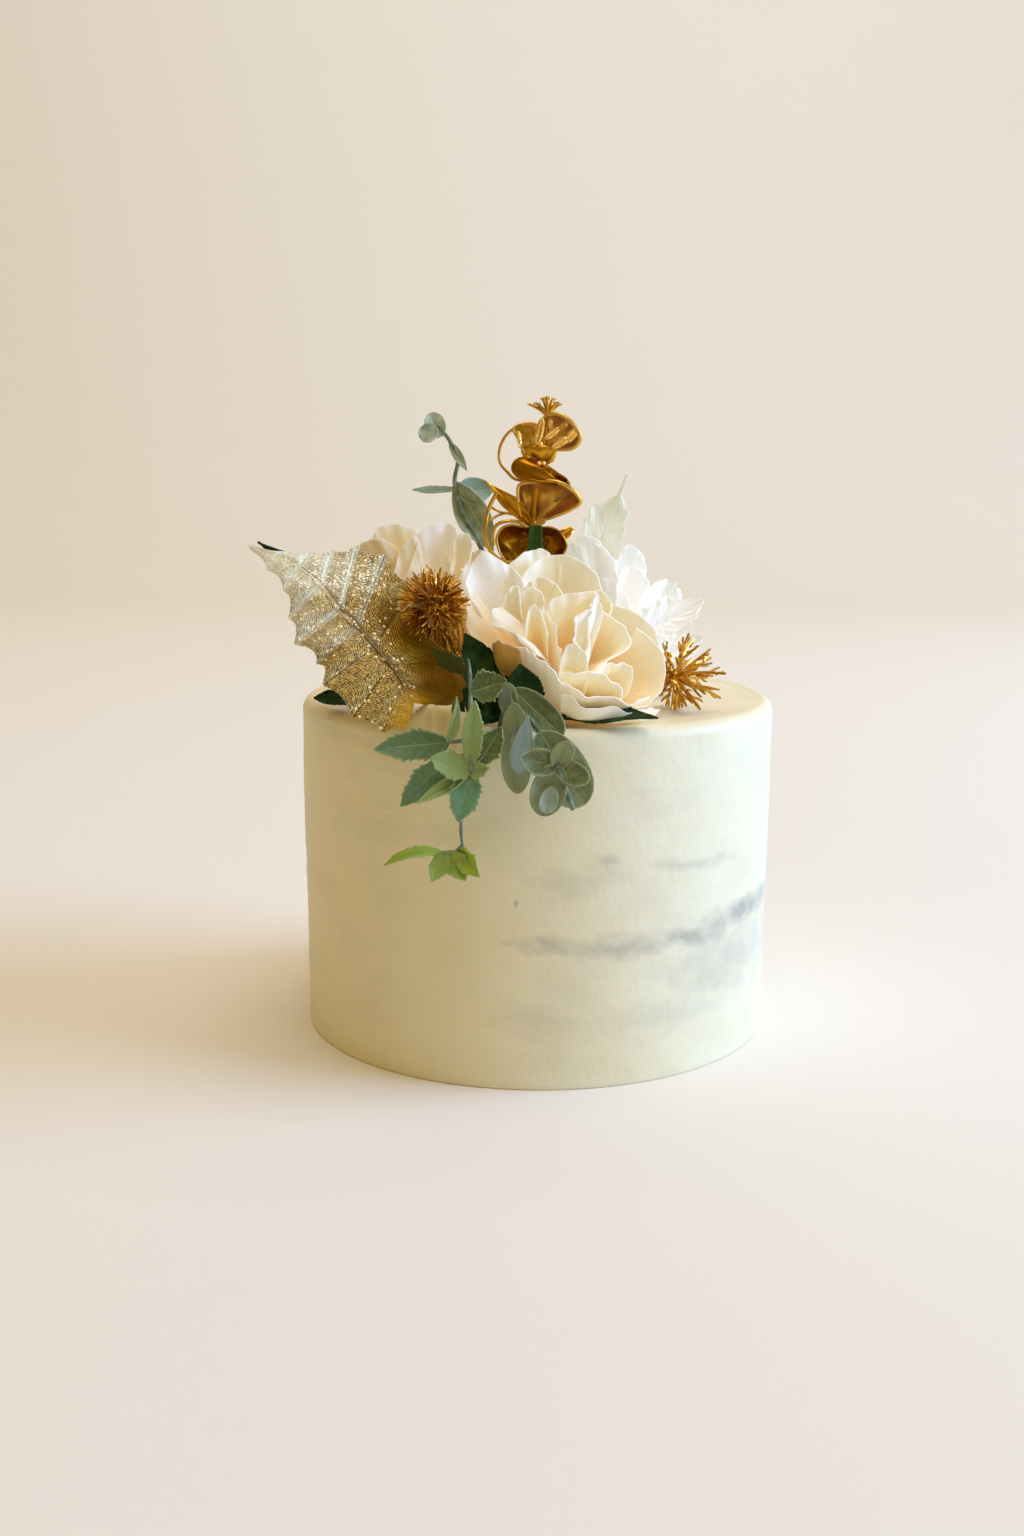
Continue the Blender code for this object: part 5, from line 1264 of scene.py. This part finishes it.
def make_rose_leaves(finishes):
    """The dark green leaves that look out from under the flowers, each on the cake's top."""
    leaves = [
        # node, base, tip, face, width, bow, stem
        ("rose_leaf_middle", (-3, -72.5, 113), (-5, -77.5, 130), (0.1, -1, 0.2), 0.0125, 0.0005,
         [(-3.1, -72.8, 114), (-3, -72, 112.6), sunk(-3, -71.5)]),
        ("rose_leaf_front", (6, -67, 112.8), (35.4, -74, 114.0), (0, -0.3, 1), 0.0110, -0.0005,
         [(9, -67.5, 112.8), (6, -62.5, 112.2), sunk(3, -57)]),
        ("rose_leaf_left", (-52, -42, 115.2), (-69.5, -45, 115.0), (0, -0.6, 1), 0.0095, 0.001,
         [(-55, -42.5, 115.2), (-50, -41, 113.2), sunk(-46, -38)]),
        ("leaf_green_back", (-54, -33.5, 140.3), (-87.2, -37, 162.5), (-0.2, -1, -0.2), 0.0104, 0.001,
         [(-55.5, -33.7, 141.5), (-57.5, -33, 122), sunk(-58, -32)]),
    ]
    for name, base, tip, face, width, bow, stem in leaves:
        piece = Piece()
        outline = spear_outline if name == "leaf_green_back" else leaf_outline
        leaf(piece, mm(base), mm(tip), face, width, outline, bow, 0.4, teeth=12, tooth=0.12, rows=72)
        if name == "rose_leaf_middle":
            fork = mm((-9.5, -71.7, 113.5))
            piece.rod(np.array([mm((-3, -72, 113)), fork]), THIN_STEM_RADIUS, 1)
            for end, wide in (((-14.5, -76.5, 121.5), 0.0090), ((-21.5, -65, 137.5), 0.0125),
                              ((-22.0, -70, 121.5), 0.0120)):
                leaf(piece, fork, mm(end), face, wide, leaf_outline, bow, 0.4, teeth=8, tooth=0.12, rows=48)
        piece.rod(smoothed(mm(stem), 12), THIN_STEM_RADIUS, 1)
        piece.made(name, "dark_green", *finishes)
    piece = Piece()
    leaf(piece, mm((-2, -12, 130)), mm((-1, -9.5, 167)), (0, -1, 0.1), 0.0054, strap_outline, 0.001, 0.5,
         tone=0.9)
    piece.rod(mm([(-2, -12, 131), sunk(-2, -10)]), STEM_RADIUS, 1)
    piece.made("leaf_strip", "dark_green", *finishes)


def dress():
    """Makes every piece of the cake and its topping."""
    dark_leaf = leaf_skin("dark_green", (0.006, 0.020, 0.004), (0.040, 0.100, 0.016), (0.03, 0.07, 0.02), 0.0,
                          0.55, 0.06, gloss=0.12)
    dark_stem = stem_skin("dark_stem", (0.02, 0.05, 0.02), (0.06, 0.12, 0.05))
    cream = petal_cloth("cream_petal", (0.93, 0.68, 0.25), (0.96, 0.88, 0.62), (0.97, 0.95, 0.81),
                        (0.97, 0.96, 0.91), (0.78, 0.56, 0.23), (0.48, 0.25, 0.015), PETAL_GLOW)
    white = petal_cloth("white_petal", (0.88, 0.89, 0.84), (0.92, 0.93, 0.92), (0.94, 0.95, 0.95),
                        (0.98, 0.98, 0.98), (0.82, 0.84, 0.80), (0.60, 0.62, 0.55), WHITE_GLOW)
    # The grey-green leaves' accent colour is a painted bluish reflection
    grey_leaf = leaf_skin("grey_green", (0.145, 0.19, 0.070), (0.33, 0.395, 0.19), (0.36, 0.41, 0.22), 0.28,
                          0.42, edge=(0.50, 0.56, 0.33), accent_and_reflection=(0.38, 0.56, 0.62))
    teal_leaf = leaf_skin("teal_green", (0.32, 0.43, 0.29), (0.70, 0.80, 0.58), (0.60, 0.72, 0.53), 0.3, 0.5,
                          edge=(0.50, 0.60, 0.44))
    light_leaf = leaf_skin("light_green", (0.140, 0.190, 0.055), (0.36, 0.48, 0.17), (0.39, 0.49, 0.22), 0.25,
                           0.45, 0.2, gloss=0.15, edge=(0.46, 0.56, 0.24), accent_and_reflection=(0.42, 0.58, 0.05),
                           cool=(0.21, 0.48, 0.29), deep_shade=(0.078, 0.082, 0.006))
    grey_stem = stem_skin("grey_stem", (0.10, 0.15, 0.10), (0.30, 0.36, 0.27))
    old_gold = gilt("gilt", (0.33, 0.13, 0.003), (0.98, 0.55, 0.04), 0.30)
    dusty_gold = gilt("dusty_gilt", (0.38, 0.16, 0.006), (0.86, 0.47, 0.04), 0.28)
    make_cake()
    make_front_rose((cream, dark_leaf, dark_stem))
    make_back_rose((cream, dark_leaf, dark_stem))
    make_white_flower((white, dark_leaf, dark_stem))
    make_gold_leaf((gold_cloth(),))
    make_silver_leaves((silver_cloth(), grey_stem))
    make_spiky_ball((dusty_gold, dark_stem))
    make_spiky_burst((dusty_gold,))
    make_gold_spray((old_gold,))
    make_back_sprig((teal_leaf, grey_stem))
    make_eucalyptus((grey_leaf, grey_stem))
    make_serrated_sprig((light_leaf, grey_stem))
    make_rose_leaves((dark_leaf, dark_stem))


# The studio


def make_stage():
    """A pale warm floor that curves up into a backdrop."""
    bend, far, high, half_width = 1.2, 1.6, 4.5, 5.0
    arc = [(far + bend * math.sin(a), bend * (1 - math.cos(a))) for a in np.linspace(0, 0.5 * math.pi, 24)]
    profile = [(-5.0, 0.0), *arc, (far + bend, high)]
    points = [(x, y, z) for y, z in profile for x in (-half_width, half_width)]
    faces = [(2 * i, 2 * i + 1, 2 * i + 3, 2 * i + 2) for i in range(len(profile) - 1)]
    mesh = bpy.data.meshes.new("floor")
    mesh.from_pydata(points, [], faces)
    mesh.shade_smooth()
    mesh.materials.append(Finish("floor", FLOOR_COLOUR, 0.9, Specular_IOR_Level=0.1).material)
    floor = shown("floor", mesh)


def make_lamp(kind, name, place, aim, power, colour, **settings):
    """A lamp that looks at a point."""
    light = bpy.data.lights.new(name, kind)
    light.energy = power
    light.color = colour
    for setting, value in settings.items():
        setattr(light, setting, value)
    lamp = shown(name, light)
    lamp.location = place
    lamp.rotation_euler = (Vector(aim) - Vector(place)).to_track_quat("-Z", "Y").to_euler()


def make_lights():
    """A cool window from the right, soft lights above and behind, a narrow beam, and a warm surround."""
    panels = [
        # name, place, aim, power, colour, width and height
        ("window", (2.2, -0.10, 0.85), (0, 0, 0.10), 76.0, (0.38, 0.59, 1.0), 1.7, 1.5),
        ("ceiling", (0.2, -0.5, 2.6), (0, 0, 0.1), 28.0, (0.98, 0.92, 0.97), 1.8, 1.8),
        ("backdrop", (0.0, 1.0, 2.2), (0, 2.6, 0.7), 15.0, (1.0, 0.99, 0.98), 3.5, 0.8),
    ]
    for *row, width, height in panels:
        make_lamp("AREA", *row, shape="RECTANGLE", size=width, size_y=height)
    make_lamp("SPOT", "topping", (0.08, -0.45, 1.6), (0.005, -0.028, 0.150), 8.0, (1.0, 0.98, 0.93),
              spot_size=math.radians(6.5), spot_blend=1.0, shadow_soft_size=0.05)
    world = bpy.data.worlds.new("surround")
    world.use_nodes = True
    world.node_tree.nodes["Background"].inputs["Color"].default_value = (1.0, 0.72, 0.18, 1.0)
    world.node_tree.nodes["Background"].inputs["Strength"].default_value = 0.31
    bpy.context.scene.world = world


def make_camera():
    data = bpy.data.cameras.new("camera")
    data.lens = CAMERA_LENS
    data.sensor_width = CAMERA_SENSOR
    data.clip_start = 0.01
    camera = shown("camera", data)
    level = math.cos(CAMERA_PITCH)
    ahead = Vector((math.sin(CAMERA_YAW) * level, math.cos(CAMERA_YAW) * level, math.sin(CAMERA_PITCH)))
    right = Vector((math.cos(CAMERA_YAW), -math.sin(CAMERA_YAW), 0))
    above = right.cross(ahead)
    rolled = right * math.cos(CAMERA_ROLL) + above * math.sin(CAMERA_ROLL)
    axes = Matrix((rolled, rolled.cross(ahead), -ahead)).transposed().to_4x4()
    camera.matrix_world = Matrix.Translation(CAMERA_PLACE) @ axes
    bpy.context.scene.camera = camera


make_camera()
make_lights()
make_stage()
dress()
bpy.context.scene.view_settings.view_transform = "Standard"
bpy.context.scene.cycles.diffuse_bounces = 8
